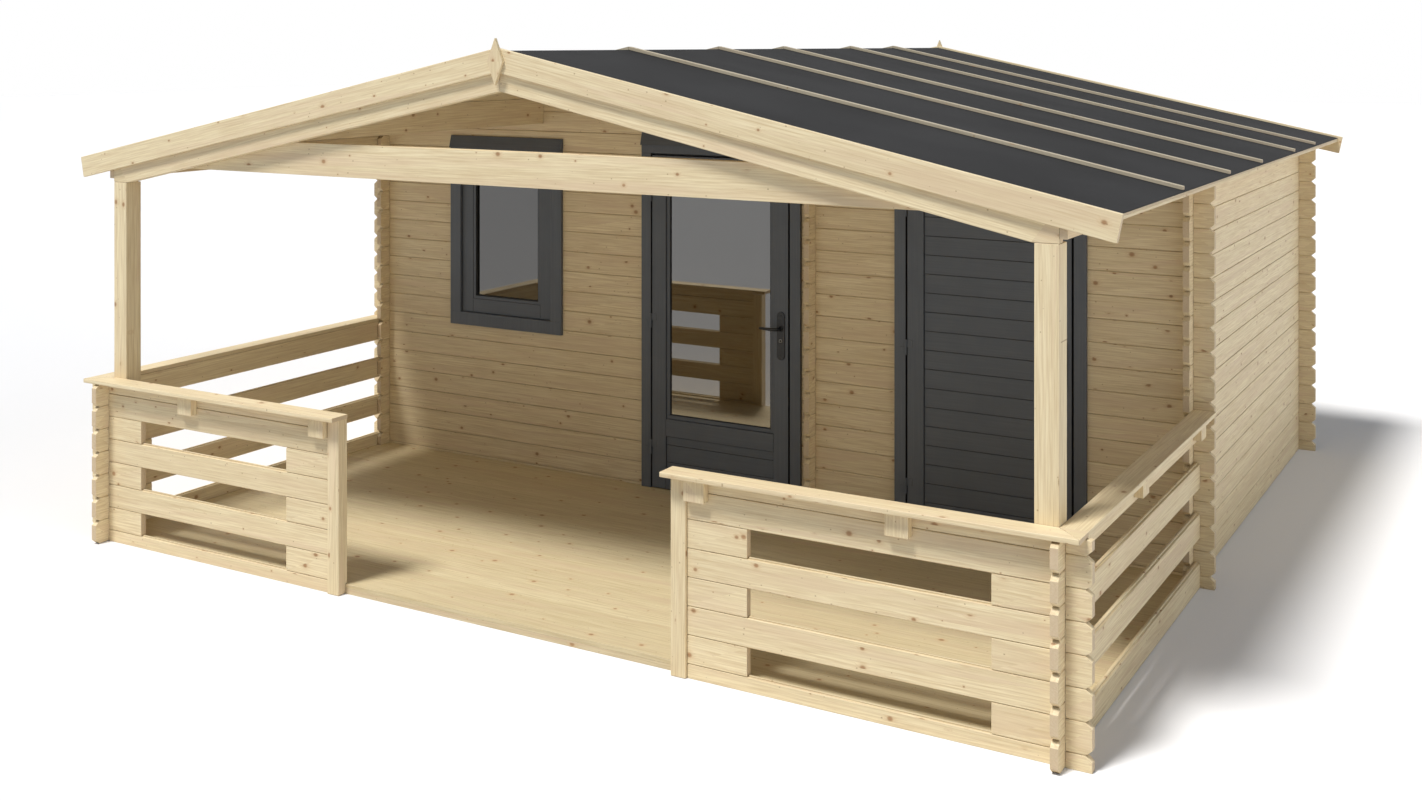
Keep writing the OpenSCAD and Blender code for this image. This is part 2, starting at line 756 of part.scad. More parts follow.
module tie_beam() color(spruce) {
    end_x = half_w;
    intersection() {
        translate([-end_x, frame_y0 + seat_gap, tie_top - tie_h])
            cube([2 * end_x, beam_t, tie_h - seat_gap]);
        translate([0, 0, -seat_gap]) under_roof(frame_y0 - over, frame_y0 + beam_t + over);
    }
}

module ridge_purlin() color(spruce)
    intersection() {
        translate([-beam_t / 2, frame_y0 + seat_gap, ridge_under - ridge_purlin_d])
            cube([beam_t, roof_y1 - barge_t - frame_y0 - 2 * seat_gap, ridge_purlin_d]);
        translate([0, 0, -seat_gap]) under_roof(frame_y0 - over, roof_y1);
    }

module mid_purlins() color(spruce)
    for (x = [-purlin_x, purlin_x])
        intersection() {
            translate([x - beam_t / 2, frame_y0 + seat_gap, tie_top])
                cube([beam_t, roof_y1 - barge_t - frame_y0 - 2 * seat_gap, tie_drop]);
            translate([0, 0, -seat_gap]) under_roof(frame_y0 - over, roof_y1);
        }

// Eave beams on the outside of the posts, in line with the topmost side logs
module eave_beams() color(spruce)
    for (side = [0, 1])
        mirror([side, 0, 0])
            intersection() {
                translate([half_w + seat_gap, rail_back + seat_gap, under(half_w) - log_h])
                    cube([log_t - seat_gap, front_y - rail_back - 2 * seat_gap, log_h]);
                translate([0, 0, -seat_gap]) under_roof(rail_back - over, front_y + over);
            }

module roof_boards() color(deal)
    for (side = [0, 1])
        mirror([side, 0, 0])
            slope_slab(seat_gap / 2, roof_edge_x, seat_gap / 2, board_rise - seat_gap,
                roof_y0 + barge_t + seat_gap, roof_y1 - barge_t - seat_gap);

module roof_felt() color(felt_black)
    for (side = [0, 1])
        mirror([side, 0, 0])
            slope_slab(seat_gap / 2, roof_edge_x, board_rise, felt_rise,
                roof_y0 + barge_t + seat_gap, roof_y1 - barge_t - seat_gap);

// Felt battens up each slope
module roof_battens() color(spruce) {
    top = felt_rise + batten_h * plumb_share;
    low = felt_rise + seat_gap;
    for (side = [0, 1])
        mirror([side, 0, 0])
            for (share = batten_shares) {
                y = roof_y0 + share * (roof_y1 - roof_y0);
                slope_slab(seat_gap / 2, roof_edge_x - batten_stop, low, top,
                    y - batten_w / 2, y + batten_w / 2);
            }
}

// One barge board: plumb at the ridge, square to the slope at the eave
module barge_board(y) {
    depth = barge_d * plumb_share;
    foot_x = eave_x - barge_d * sin(roof_pitch);
    translate([0, y + barge_t, 0]) rotate([90, 0, 0]) linear_extrude(barge_t)
        polygon([[seat_gap / 2, under(0) + barge_top], [seat_gap / 2, under(0) + barge_top - depth],
            [foot_x, under(foot_x) + barge_top - depth], [eave_x, under(eave_x) + barge_top]]);
}

module barge_boards() color(spruce)
    for (side = [0, 1], y = [roof_y0, roof_y1 - barge_t])
        mirror([side, 0, 0]) barge_board(y);

// Pointed board over the joint of a barge board pair
module ridge_finials() color(spruce) {
    tip = ridge_under + barge_top + finial_rise;
    for (y = [roof_y0 - seat_gap, roof_y1 + finial_t])
        translate([0, y, tip]) rotate([90, 0, 0]) linear_extrude(finial_t - seat_gap)
            polygon([[0, 0], [finial_w / 2, -finial_h / 2], [0, -finial_h], [-finial_w / 2, -finial_h / 2]]);
}

// Logs of a railing, trimmed to the ground and the railing's top
module rail_log(mid, a, b, crossing, free_a, free_b) {
    intersection() {
        log_piece(a, b, mid, crossing, free_a, free_b);
        translate([a - over, -over, 0]) cube([b - a + 2 * over, log_t + 2 * over, rail_top - seat_gap]);
    }
}

function is_open(row) = row % 2 == 1 && row < rail_courses;

// Front railing right of the entrance: whole logs in turn with pairs of blocks
module front_railing() {
    free_x = rail_out + cross_reach;
    translate([0, rail_y, 0])
        for (k = rail_rows)
            if (is_open(k)) {
                rail_log(k * log_h, entry_x + seat_gap, gap_x0, [], false, false);
                rail_log(k * log_h, gap_x1, free_x, [half_w], false, true);
            } else
                rail_log(k * log_h, entry_x + seat_gap, free_x, [half_w], false, true);
}

// Side railing on the right, fixed to the outside of the cabin's log ends
module side_railing() {
    a = rail_y - side_reach;
    translate([half_w + log_t, 0, 0]) rotate([0, 0, 90])
        for (j = [1 : rail_courses])
            rail_log((j - full_half_share) * log_h, a,
                j % 2 == 0 ? rail_back + corner_block_l : front_y - seat_gap, [rail_y], true, false);
}

module left_railing() color(spruce) mirror([1, 0, 0]) side_railing();

module right_railing() color(spruce) side_railing();

module front_left_railing() color(spruce) mirror([1, 0, 0]) front_railing();

module front_right_railing() color(spruce) front_railing();

module entrance_posts() color(spruce)
    for (side = [0, 1])
        mirror([side, 0, 0]) translate([entry_w / 2, rail_y - entry_post_reach, 0])
            cube([entry_post_w, log_t + 2 * entry_post_reach, rail_top - seat_gap]);

// Cap rail of each side: a front board and a side board with a mitre at the corner
module cap_rails() color(spruce)
    for (side = [0, 1])
        mirror([side, 0, 0]) translate([0, 0, rail_top]) linear_extrude(cap_t) {
            polygon([[entry_w / 2 - cap_end_reach, rail_y - cap_reach],
                [rail_out + cap_reach - seat_gap, rail_y - cap_reach],
                [half_w - seat_gap, rail_back], [entry_w / 2 - cap_end_reach, rail_back]]);
            polygon([[rail_out + cap_reach, rail_y - cap_reach + seat_gap],
                [rail_out + cap_reach, front_y - seat_gap], [half_w, front_y - seat_gap],
                [half_w, rail_back + seat_gap]]);
        }

module cap_brackets() color(spruce)
    for (side = [0, 1])
        mirror([side, 0, 0]) translate([0, 0, rail_top - bracket_h]) {
            for (share = front_bracket_shares)
                translate([entry_x + share * (rail_out - entry_x) - bracket_w / 2, rail_y - bracket_d, 0])
                    cube([bracket_w, bracket_d, bracket_h - seat_gap]);
            for (share = side_bracket_shares)
                translate([rail_out, rail_y + share * veranda_d - bracket_w / 2, 0])
                    cube([bracket_d, bracket_w, bracket_h - seat_gap]);
        }

floor_bearers();
veranda_deck();
cabin_floor();
left_wall();
right_wall();
rear_wall();
partition_wall();
front_wall_left();
front_wall_middle();
front_wall_right();
front_gable();
window_casing();
window_sash();
window_glass();
glazed_door_casing();
store_door_casing();
drip_caps();
frame_hinges();
veranda_posts();
front_rafters();
tie_beam();
ridge_purlin();
mid_purlins();
eave_beams();
roof_boards();
roof_felt();
roof_battens();
barge_boards();
ridge_finials();
left_railing();
right_railing();
front_left_railing();
front_right_railing();
entrance_posts();
cap_rails();
cap_brackets();
glazed_door_leaf();
glazed_door_glass();
glazed_door_panel();
glazed_door_plates();
glazed_door_hinges();
glazed_door_lever();
store_door_leaf();
store_door_boards();
store_door_plates();
store_door_hinges();
store_door_lever();
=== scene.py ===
import bpy
import bmesh
import math
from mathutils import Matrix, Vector


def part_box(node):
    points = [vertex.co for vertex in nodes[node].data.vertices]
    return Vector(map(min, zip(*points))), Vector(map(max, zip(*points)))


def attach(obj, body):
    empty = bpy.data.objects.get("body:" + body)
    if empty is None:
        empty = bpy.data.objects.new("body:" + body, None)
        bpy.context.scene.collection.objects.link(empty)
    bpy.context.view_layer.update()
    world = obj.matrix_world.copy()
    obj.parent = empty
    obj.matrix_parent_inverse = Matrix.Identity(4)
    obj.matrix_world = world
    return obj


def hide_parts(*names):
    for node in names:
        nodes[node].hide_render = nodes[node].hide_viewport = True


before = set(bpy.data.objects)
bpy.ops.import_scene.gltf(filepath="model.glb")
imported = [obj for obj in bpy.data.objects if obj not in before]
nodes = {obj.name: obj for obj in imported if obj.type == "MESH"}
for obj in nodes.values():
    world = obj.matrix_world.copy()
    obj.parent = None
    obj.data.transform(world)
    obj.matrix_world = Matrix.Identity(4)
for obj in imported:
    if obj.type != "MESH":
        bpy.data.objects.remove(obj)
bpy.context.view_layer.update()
print("stage: frame loaded")


def hexLinear(code):
    channels = [int(code[i:i + 2], 16) / 255 for i in (1, 3, 5)]
    return [c / 12.92 if c <= 0.04045 else ((c + 0.055) / 1.055) ** 2.4 for c in channels] + [1.0]


def addNode(tree, kind, inputs=None, stops=None, **settings):
    node = tree.nodes.new(kind)
    for name, value in settings.items():
        setattr(node, name, value)
    if stops:
        ramp = node.color_ramp
        while len(ramp.elements) < len(stops):
            ramp.elements.new(0.5)
        for element, (position, colour) in zip(ramp.elements, stops):
            element.position = position
            element.color = colour
    for key, value in (inputs or {}).items():
        if isinstance(value, bpy.types.NodeSocket):
            tree.links.new(value, node.inputs[key])
        else:
            node.inputs[key].default_value = value
    return node


def newMaterial(name):
    material = bpy.data.materials.new(name)
    material.use_nodes = True
    material.node_tree.nodes.clear()
    return material, material.node_tree


# Planed spruce, kiln dried and left untreated: pale cream early wood, straw late wood, pinkish heart patches,
# small red-brown knots, and greyer end grain where the saw crossed the rings.
spruceLook = {
    "early": "#f2e2bc", "late": "#dac497", "streak": "#c7ab80", "heart": "#dec4a4", "dull": "#c9b38b",
    # seam is the brown of the painted shade laid into notches and seams
    "halo": "#cfae84", "knot": "#b58f69", "core": "#98744f", "pin": "#9c7c56", "end": "#c8b193", "seam": "#745d3b",
    "ringGap": 0.011,  # real rings are 2 to 4 mm; drawn coarser so that they show at 5 mm a pixel
    "ringWarp": 0.09, "knotSwell": 0.012,  # metres that the rings wander, and bulge round a knot
    # patterns per metre along, across and through the log: wandering rings, fine streaks, heart patches
    "slow": (0.8, 8.0, 8.0), "fine": (4.5, 120.0, 120.0), "broad": (1.1, 13.0, 13.0),
    "shuffle": 97.0, "trunk": (43.0, 7.0, 9.0),  # metres of wood that the logs are cut from
    "ringTilt": (0.0, 1.0, 0.55),  # the rings climb slantwise through a log
    # large knots, then pin knots: spacing along, spacing across and largest radius in metres, share left clear,
    # and the radii, as multiples, between which a mark fades: the halo and the knot, or the pin alone
    "knots": [(0.25, 0.113, 0.0115, 0.3, [(3.0, 0.7), (1.3, 0.4)]), (0.09, 0.04, 0.0036, 0.62, [(1.3, 0.4)])],
    "ringShare": 0.5, "streakShare": 0.58, "dullShare": 0.28, "haloShare": 0.4, "pinShare": 0.65,
    "notchShadeReach": 0.022, "seamShadeReach": 0.007,  # metres within which ambient occlusion paints shade into a notch or a seam
}
# Floor boards: a little darker than the other spruce under the same light.
deckLook = dict(spruceLook, early="#e2d3ad", late="#cdb98c", streak="#b7a175", heart="#d1b898", dull="#beaa82")
# Bearers: the same stock, planed once and a shade greyer.
bearerLook = dict(spruceLook, early="#dfcfac", late="#c8b48a", streak="#b59d73", heart="#ceb495", dull="#b9a47e")
# Battens as they leave the saw: greyer and duller than the planed wood.
sawnLook = dict(spruceLook, early="#c3b79f", late="#b1a489", streak="#a3967c", heart="#b8a48c", dull="#a49880")


def makeSpruce(name, along, across, through, fold=False, turnAt=None, look=spruceLook):
    material, tree = newMaterial(name)
    place = addNode(tree, "ShaderNodeTexCoord").outputs["Object"]
    normal = addNode(tree, "ShaderNodeTexCoord").outputs["Normal"]
    geometry = addNode(tree, "ShaderNodeNewGeometry")
    if fold:  # both slopes of the roof share one pattern, mirrored at the ridge
        place = addNode(tree, "ShaderNodeVectorMath", {0: place}, operation="ABSOLUTE").outputs["Vector"]
        normal = addNode(tree, "ShaderNodeVectorMath", {0: normal}, operation="ABSOLUTE").outputs["Vector"]
    if turnAt is not None:  # behind this line the boards run back along Y instead of X
        behind = addNode(tree, "ShaderNodeSeparateXYZ", {0: place}).outputs["Y"]
        behind = addNode(tree, "ShaderNodeMath", {0: behind, 1: turnAt}, operation="GREATER_THAN").outputs[0]
        turned = []
        for vector in (place, normal):
            parts = addNode(tree, "ShaderNodeSeparateXYZ", {0: vector}).outputs
            swap = addNode(tree, "ShaderNodeCombineXYZ", {0: parts[1], 1: parts[0], 2: parts[2]}).outputs[0]
            turned.append(addNode(tree, "ShaderNodeMix", {0: behind, 4: vector, 5: swap},
                                  data_type="VECTOR").outputs[1])
        place, normal = turned
    axes = [addNode(tree, "ShaderNodeVectorMath", {0: place, 1: direction}, operation="DOT_PRODUCT").outputs["Value"]
            for direction in (along, across, through)]
    laid = addNode(tree, "ShaderNodeCombineXYZ", {0: axes[0], 1: axes[1], 2: axes[2]}).outputs[0]
    # every log or board is an island of its own, so each is cut from another place of the tree
    chance = addNode(tree, "ShaderNodeMath", {0: geometry.outputs["Random Per Island"], 1: look["shuffle"]},
                     operation="MULTIPLY").outputs[0]
    chance = addNode(tree, "ShaderNodeTexWhiteNoise", {"W": chance}, noise_dimensions="1D").outputs["Color"]
    chances = addNode(tree, "ShaderNodeSeparateColor", {0: chance}).outputs
    cut = addNode(tree, "ShaderNodeVectorMath", {0: chance, 1: look["trunk"], 2: laid},
                  operation="MULTIPLY_ADD").outputs["Vector"]

    # knots and pin knots: one chance in every gap along a log; the grain swells round the large ones
    marks = []
    for gap, row, largest, rare, fades in look["knots"]:
        cell = addNode(tree, "ShaderNodeVectorMath", {0: cut, 1: (1 / gap, 1 / row, 0)},
                       operation="MULTIPLY").outputs["Vector"]
        knot = addNode(tree, "ShaderNodeTexVoronoi", {"Vector": cell, "Scale": 1.0}, voronoi_dimensions="2D")
        offset = addNode(tree, "ShaderNodeVectorMath", {0: cell, 1: knot.outputs["Position"]}, operation="SUBTRACT")
        offset = addNode(tree, "ShaderNodeVectorMath", {0: offset.outputs["Vector"], 1: (gap * 0.8, row, 0)},
                         operation="MULTIPLY").outputs["Vector"]
        reach = addNode(tree, "ShaderNodeVectorMath", {0: offset}, operation="LENGTH").outputs["Value"]
        size = addNode(tree, "ShaderNodeSeparateColor", {0: knot.outputs["Color"]}).outputs[0]
        size = addNode(tree, "ShaderNodeMapRange", {"Value": size, "From Min": rare, "To Max": largest}).outputs[0]
        for fade in fades:
            outer, inner = (addNode(tree, "ShaderNodeMath", {0: size, 1: times}, operation="MULTIPLY").outputs[0]
                            for times in fade)
            marks.append(addNode(tree, "ShaderNodeMapRange", {"Value": reach, "From Min": outer, "From Max": inner},
                                 interpolation_type="SMOOTHSTEP").outputs[0])
    halo, spot, pin = marks

    # growth rings: a warped stack of layers, long along the grain
    slow = addNode(tree, "ShaderNodeVectorMath", {0: cut, 1: look["slow"]}, operation="MULTIPLY").outputs["Vector"]
    warp = addNode(tree, "ShaderNodeTexNoise", {"Vector": slow, "Scale": 1.0, "Detail": 3.0}).outputs[0]
    layer = addNode(tree, "ShaderNodeVectorMath", {0: cut, 1: look["ringTilt"]},
                    operation="DOT_PRODUCT").outputs["Value"]
    layer = addNode(tree, "ShaderNodeMath", {0: warp, 1: look["ringWarp"], 2: layer},
                    operation="MULTIPLY_ADD").outputs[0]
    swell = addNode(tree, "ShaderNodeMath", {0: halo, 1: look["knotSwell"], 2: layer},
                    operation="MULTIPLY_ADD").outputs[0]
    ring = addNode(tree, "ShaderNodeMath", {0: swell, 1: 1 / look["ringGap"]}, operation="MULTIPLY").outputs[0]
    ring = addNode(tree, "ShaderNodeMath", {0: ring}, operation="FRACT").outputs[0]
    ring = addNode(tree, "ShaderNodeValToRGB", {0: ring}, stops=[
        (0.0, (0, 0, 0, 1)), (0.55, (0.25, 0.25, 0.25, 1)), (0.88, (1, 1, 1, 1)), (1.0, (0, 0, 0, 1))]).outputs[0]
    fine = addNode(tree, "ShaderNodeVectorMath", {0: cut, 1: look["fine"]}, operation="MULTIPLY").outputs["Vector"]
    fine = addNode(tree, "ShaderNodeTexNoise", {"Vector": fine, "Scale": 1.0, "Detail": 5.0,
                                               "Roughness": 0.6}).outputs[0]
    streak = addNode(tree, "ShaderNodeMapRange", {"Value": fine, "From Min": 0.4, "From Max": 0.68}).outputs[0]
    broad = addNode(tree, "ShaderNodeVectorMath", {0: cut, 1: look["broad"]}, operation="MULTIPLY").outputs["Vector"]
    broad = addNode(tree, "ShaderNodeTexNoise", {"Vector": broad, "Scale": 1.0, "Detail": 2.0}).outputs[0]
    heart = addNode(tree, "ShaderNodeMapRange", {"Value": broad, "From Min": 0.48, "From Max": 0.72,
                                                "To Max": 0.6}).outputs[0]

    # colour, from the clear wood to the knots
    share = addNode(tree, "ShaderNodeMath", {0: ring, 1: look["ringShare"]}, operation="MULTIPLY").outputs[0]
    tone = addNode(tree, "ShaderNodeMix", {0: share, 6: hexLinear(look["early"]), 7: hexLinear(look["late"])},
                   data_type="RGBA").outputs[2]
    share = addNode(tree, "ShaderNodeMath", {0: streak, 1: look["streakShare"]}, operation="MULTIPLY").outputs[0]
    tone = addNode(tree, "ShaderNodeMix", {0: share, 6: tone, 7: hexLinear(look["streak"])},
                   data_type="RGBA").outputs[2]
    tone = addNode(tree, "ShaderNodeMix", {0: heart, 6: tone, 7: hexLinear(look["heart"])}, data_type="RGBA").outputs[2]
    share = addNode(tree, "ShaderNodeMath", {0: chances[1], 1: look["dullShare"]}, operation="MULTIPLY").outputs[0]
    tone = addNode(tree, "ShaderNodeMix", {0: share, 6: tone, 7: hexLinear(look["dull"])}, data_type="RGBA").outputs[2]
    share = addNode(tree, "ShaderNodeMath", {0: halo, 1: look["haloShare"]}, operation="MULTIPLY").outputs[0]
    tone = addNode(tree, "ShaderNodeMix", {0: share, 6: tone, 7: hexLinear(look["halo"])}, data_type="RGBA").outputs[2]
    heartwood = addNode(tree, "ShaderNodeMix", {0: streak, 6: hexLinear(look["knot"]), 7: hexLinear(look["core"])},
                        data_type="RGBA").outputs[2]
    tone = addNode(tree, "ShaderNodeMix", {0: spot, 6: tone, 7: heartwood}, data_type="RGBA").outputs[2]
    share = addNode(tree, "ShaderNodeMath", {0: pin, 1: look["pinShare"]}, operation="MULTIPLY").outputs[0]
    tone = addNode(tree, "ShaderNodeMix", {0: share, 6: tone, 7: hexLinear(look["pin"])}, data_type="RGBA").outputs[2]

    # end grain, greyer where a face lies across the log
    facing = addNode(tree, "ShaderNodeVectorMath", {0: normal, 1: along}, operation="DOT_PRODUCT").outputs["Value"]
    facing = addNode(tree, "ShaderNodeMath", {0: facing}, operation="ABSOLUTE").outputs[0]
    cross = addNode(tree, "ShaderNodeMapRange", {"Value": facing, "From Min": 0.75, "From Max": 0.95,
                                                "To Max": 0.7}).outputs[0]
    tone = addNode(tree, "ShaderNodeMix", {0: cross, 6: tone, 7: hexLinear(look["end"])}, data_type="RGBA").outputs[2]

    # painted shade: the notches between log ends are drawn dark where ambient occlusion finds them deep
    slant = addNode(tree, "ShaderNodeMapRange", {"Value": facing, "From Min": 0.35, "From Max": 0.6}).outputs[0]
    notchShadeMask = addNode(tree, "ShaderNodeAmbientOcclusion", {"Distance": look["notchShadeReach"]}, samples=4).outputs["AO"]
    notchShadeMask = addNode(tree, "ShaderNodeMapRange", {"Value": notchShadeMask, "From Min": 0.7, "From Max": 0.3,
                                                 "To Max": 0.85}).outputs[0]
    share = addNode(tree, "ShaderNodeMath", {0: slant, 1: notchShadeMask}, operation="MULTIPLY").outputs[0]
    tone = addNode(tree, "ShaderNodeMix", {0: share, 6: tone, 7: hexLinear(look["seam"])}, data_type="RGBA").outputs[2]

    # painted shade in the seams and crevices, darker where ambient occlusion finds another face close
    aoShade = addNode(tree, "ShaderNodeAmbientOcclusion", {"Distance": look["seamShadeReach"]}, samples=4).outputs["AO"]
    seam = addNode(tree, "ShaderNodeMapRange", {"Value": aoShade, "From Min": 0.6, "From Max": 0.15,
                                               "To Max": 0.28}).outputs[0]
    tone = addNode(tree, "ShaderNodeMix", {0: seam, 6: tone, 7: hexLinear(look["seam"])}, data_type="RGBA").outputs[2]
    height = addNode(tree, "ShaderNodeMath", {0: ring, 1: 0.5, 2: streak}, operation="MULTIPLY_ADD").outputs[0]
    relief = addNode(tree, "ShaderNodeBump", {"Strength": 0.35, "Distance": 0.0006, "Height": height},
                     invert=True).outputs[0]
    sheen = addNode(tree, "ShaderNodeMapRange", {"Value": fine, "To Min": 0.5, "To Max": 0.72}).outputs[0]
    surface = addNode(tree, "ShaderNodeBsdfPrincipled", {"Base Color": tone, "Roughness": sheen, "Normal": relief,
                                                        "IOR": 1.5, "Specular IOR Level": 0.35})
    addNode(tree, "ShaderNodeOutputMaterial", {0: surface.outputs[0]})
    return material


# Joinery brushed with two coats of anthracite exterior paint: satin, faint brush lines along the grain,
# slightly lighter where edges have rubbed.
# gap is the near black of the painted shade laid into gaps and reveals
paintLook = {"coat": "#565b61", "thin": "#5d6268", "deep": "#51565c", "worn": "#686b6e", "gap": "#08090a",
             "lines": (3.0, 160.0),  # brush lines per metre, along and across
             "gapShadeReach": 0.008, "windowShadeReach": 0.0035}  # metres within which ambient occlusion paints shade into a gap


def makePaint(name, along, gapShadeReach=paintLook["gapShadeReach"]):
    look = paintLook
    material, tree = newMaterial(name)
    place = addNode(tree, "ShaderNodeTexCoord").outputs["Object"]
    geometry = addNode(tree, "ShaderNodeNewGeometry")
    lines = tuple(look["lines"][0 if axis else 1] for axis in along)
    brushed = addNode(tree, "ShaderNodeVectorMath", {0: place, 1: lines}, operation="MULTIPLY").outputs["Vector"]
    brushed = addNode(tree, "ShaderNodeTexNoise", {"Vector": brushed, "Scale": 1.0, "Detail": 4.0}).outputs[0]
    patch = addNode(tree, "ShaderNodeTexNoise", {"Vector": place, "Scale": 6.0, "Detail": 3.0}).outputs[0]
    share = addNode(tree, "ShaderNodeMapRange", {"Value": brushed, "From Min": 0.35, "From Max": 0.7}).outputs[0]
    tone = addNode(tree, "ShaderNodeMix", {0: share, 6: hexLinear(look["coat"]), 7: hexLinear(look["thin"])},
                   data_type="RGBA").outputs[2]
    share = addNode(tree, "ShaderNodeMapRange", {"Value": patch, "From Min": 0.45, "From Max": 0.75,
                                                "To Max": 0.5}).outputs[0]
    tone = addNode(tree, "ShaderNodeMix", {0: share, 6: tone, 7: hexLinear(look["deep"])}, data_type="RGBA").outputs[2]
    rounded = addNode(tree, "ShaderNodeBevel", {"Radius": 0.004}, samples=4).outputs[0]
    edge = addNode(tree, "ShaderNodeVectorMath", {0: rounded, 1: geometry.outputs["Normal"]},
                   operation="DOT_PRODUCT").outputs["Value"]
    edge = addNode(tree, "ShaderNodeMapRange", {"Value": edge, "From Min": 0.995, "From Max": 0.85,
                                               "To Max": 0.5}).outputs[0]
    edge = addNode(tree, "ShaderNodeMath", {0: edge, 1: patch}, operation="MULTIPLY").outputs[0]
    tone = addNode(tree, "ShaderNodeMix", {0: edge, 6: tone, 7: hexLinear(look["worn"])}, data_type="RGBA").outputs[2]
    # painted shade: gaps and reveals turn near black where ambient occlusion finds another face close
    aoShade = addNode(tree, "ShaderNodeAmbientOcclusion", {"Distance": gapShadeReach}, samples=4).outputs["AO"]
    gap = addNode(tree, "ShaderNodeMapRange", {"Value": aoShade, "From Min": 0.58, "From Max": 0.2}).outputs[0]
    tone = addNode(tree, "ShaderNodeMix", {0: gap, 6: tone, 7: hexLinear(look["gap"])}, data_type="RGBA").outputs[2]
    relief = addNode(tree, "ShaderNodeBump", {"Strength": 0.2, "Distance": 0.0003, "Height": brushed,
                                             "Normal": rounded}).outputs[0]
    sheen = addNode(tree, "ShaderNodeMapRange", {"Value": brushed, "To Min": 0.38, "To Max": 0.58}).outputs[0]
    surface = addNode(tree, "ShaderNodeBsdfPrincipled", {"Base Color": tone, "Roughness": sheen, "Normal": relief,
                                                        "IOR": 1.5})
    addNode(tree, "ShaderNodeOutputMaterial", {0: surface.outputs[0]})
    return material


# Bitumen felt faced with crushed slate: near black, a mineral speckle, matt.
feltLook = {"slate": "#1f1f20", "pale": "#333333", "dark": "#171717", "grain": 420.0}  # real grains 1 mm; drawn 2 mm


def makeFelt(name):
    look = feltLook
    material, tree = newMaterial(name)
    place = addNode(tree, "ShaderNodeTexCoord").outputs["Object"]
    grain = addNode(tree, "ShaderNodeTexNoise", {"Vector": place, "Scale": look["grain"], "Detail": 2.0}).outputs[0]
    cloud = addNode(tree, "ShaderNodeTexNoise", {"Vector": place, "Scale": 1.7, "Detail": 4.0}).outputs[0]
    share = addNode(tree, "ShaderNodeMapRange", {"Value": grain, "From Min": 0.52, "From Max": 0.75}).outputs[0]
    tone = addNode(tree, "ShaderNodeMix", {0: share, 6: hexLinear(look["slate"]), 7: hexLinear(look["pale"])},
                   data_type="RGBA").outputs[2]
    share = addNode(tree, "ShaderNodeMapRange", {"Value": cloud, "From Min": 0.4, "From Max": 0.7,
                                                "To Max": 0.45}).outputs[0]
    tone = addNode(tree, "ShaderNodeMix", {0: share, 6: tone, 7: hexLinear(look["dark"])}, data_type="RGBA").outputs[2]
    relief = addNode(tree, "ShaderNodeBump", {"Strength": 0.5, "Distance": 0.001, "Height": grain}).outputs[0]
    sheen = addNode(tree, "ShaderNodeMapRange", {"Value": cloud, "To Min": 0.75, "To Max": 0.95}).outputs[0]
    surface = addNode(tree, "ShaderNodeBsdfPrincipled", {"Base Color": tone, "Roughness": sheen, "Normal": relief,
                                                        "Specular IOR Level": 0.15})
    addNode(tree, "ShaderNodeOutputMaterial", {0: surface.outputs[0]})
    return material


# Float glass in sealed units: grey in depth, and strong mirror images, since every pane's faces reflect. The grey is
# drawn darker than the glass alone, as painted shade for the dark rooms behind.
# A unit is one solid here, so its index stands for all those faces and lies far above a single pane's 1.5.
glassLook = {"tintAndRoomShade": "#40403f", "warm": "#fffbf4", "window": 2.6, "door": 3.1}


def makeGlass(name, index):
    look = glassLook
    material, tree = newMaterial(name)
    place = addNode(tree, "ShaderNodeTexCoord").outputs["Object"]
    wave = addNode(tree, "ShaderNodeTexNoise", {"Vector": place, "Scale": 1.5, "Detail": 1.0}).outputs[0]
    relief = addNode(tree, "ShaderNodeBump", {"Strength": 0.04, "Distance": 0.002, "Height": wave}).outputs[0]
    film = addNode(tree, "ShaderNodeTexNoise", {"Vector": place, "Scale": 9.0, "Detail": 5.0}).outputs[0]
    sheen = addNode(tree, "ShaderNodeMapRange", {"Value": film, "To Min": 0.0, "To Max": 0.03}).outputs[0]
    surface = addNode(tree, "ShaderNodeBsdfPrincipled", {
        "Base Color": hexLinear(look["tintAndRoomShade"]), "Transmission Weight": 1.0, "Roughness": sheen, "IOR": index,
        "Specular Tint": hexLinear(look["warm"]), "Normal": relief})
    addNode(tree, "ShaderNodeOutputMaterial", {0: surface.outputs[0]})
    return material


# Steel, powder coated black: fine orange peel, semi-gloss, greyer on rubbed edges.
steelLook = {"coat": "#292a2b", "dust": "#323334", "worn": "#545557"}
# The levers wear a deeper black than their plates.
leverLook = {"coat": "#191a1b", "dust": "#222324", "worn": "#38393b"}


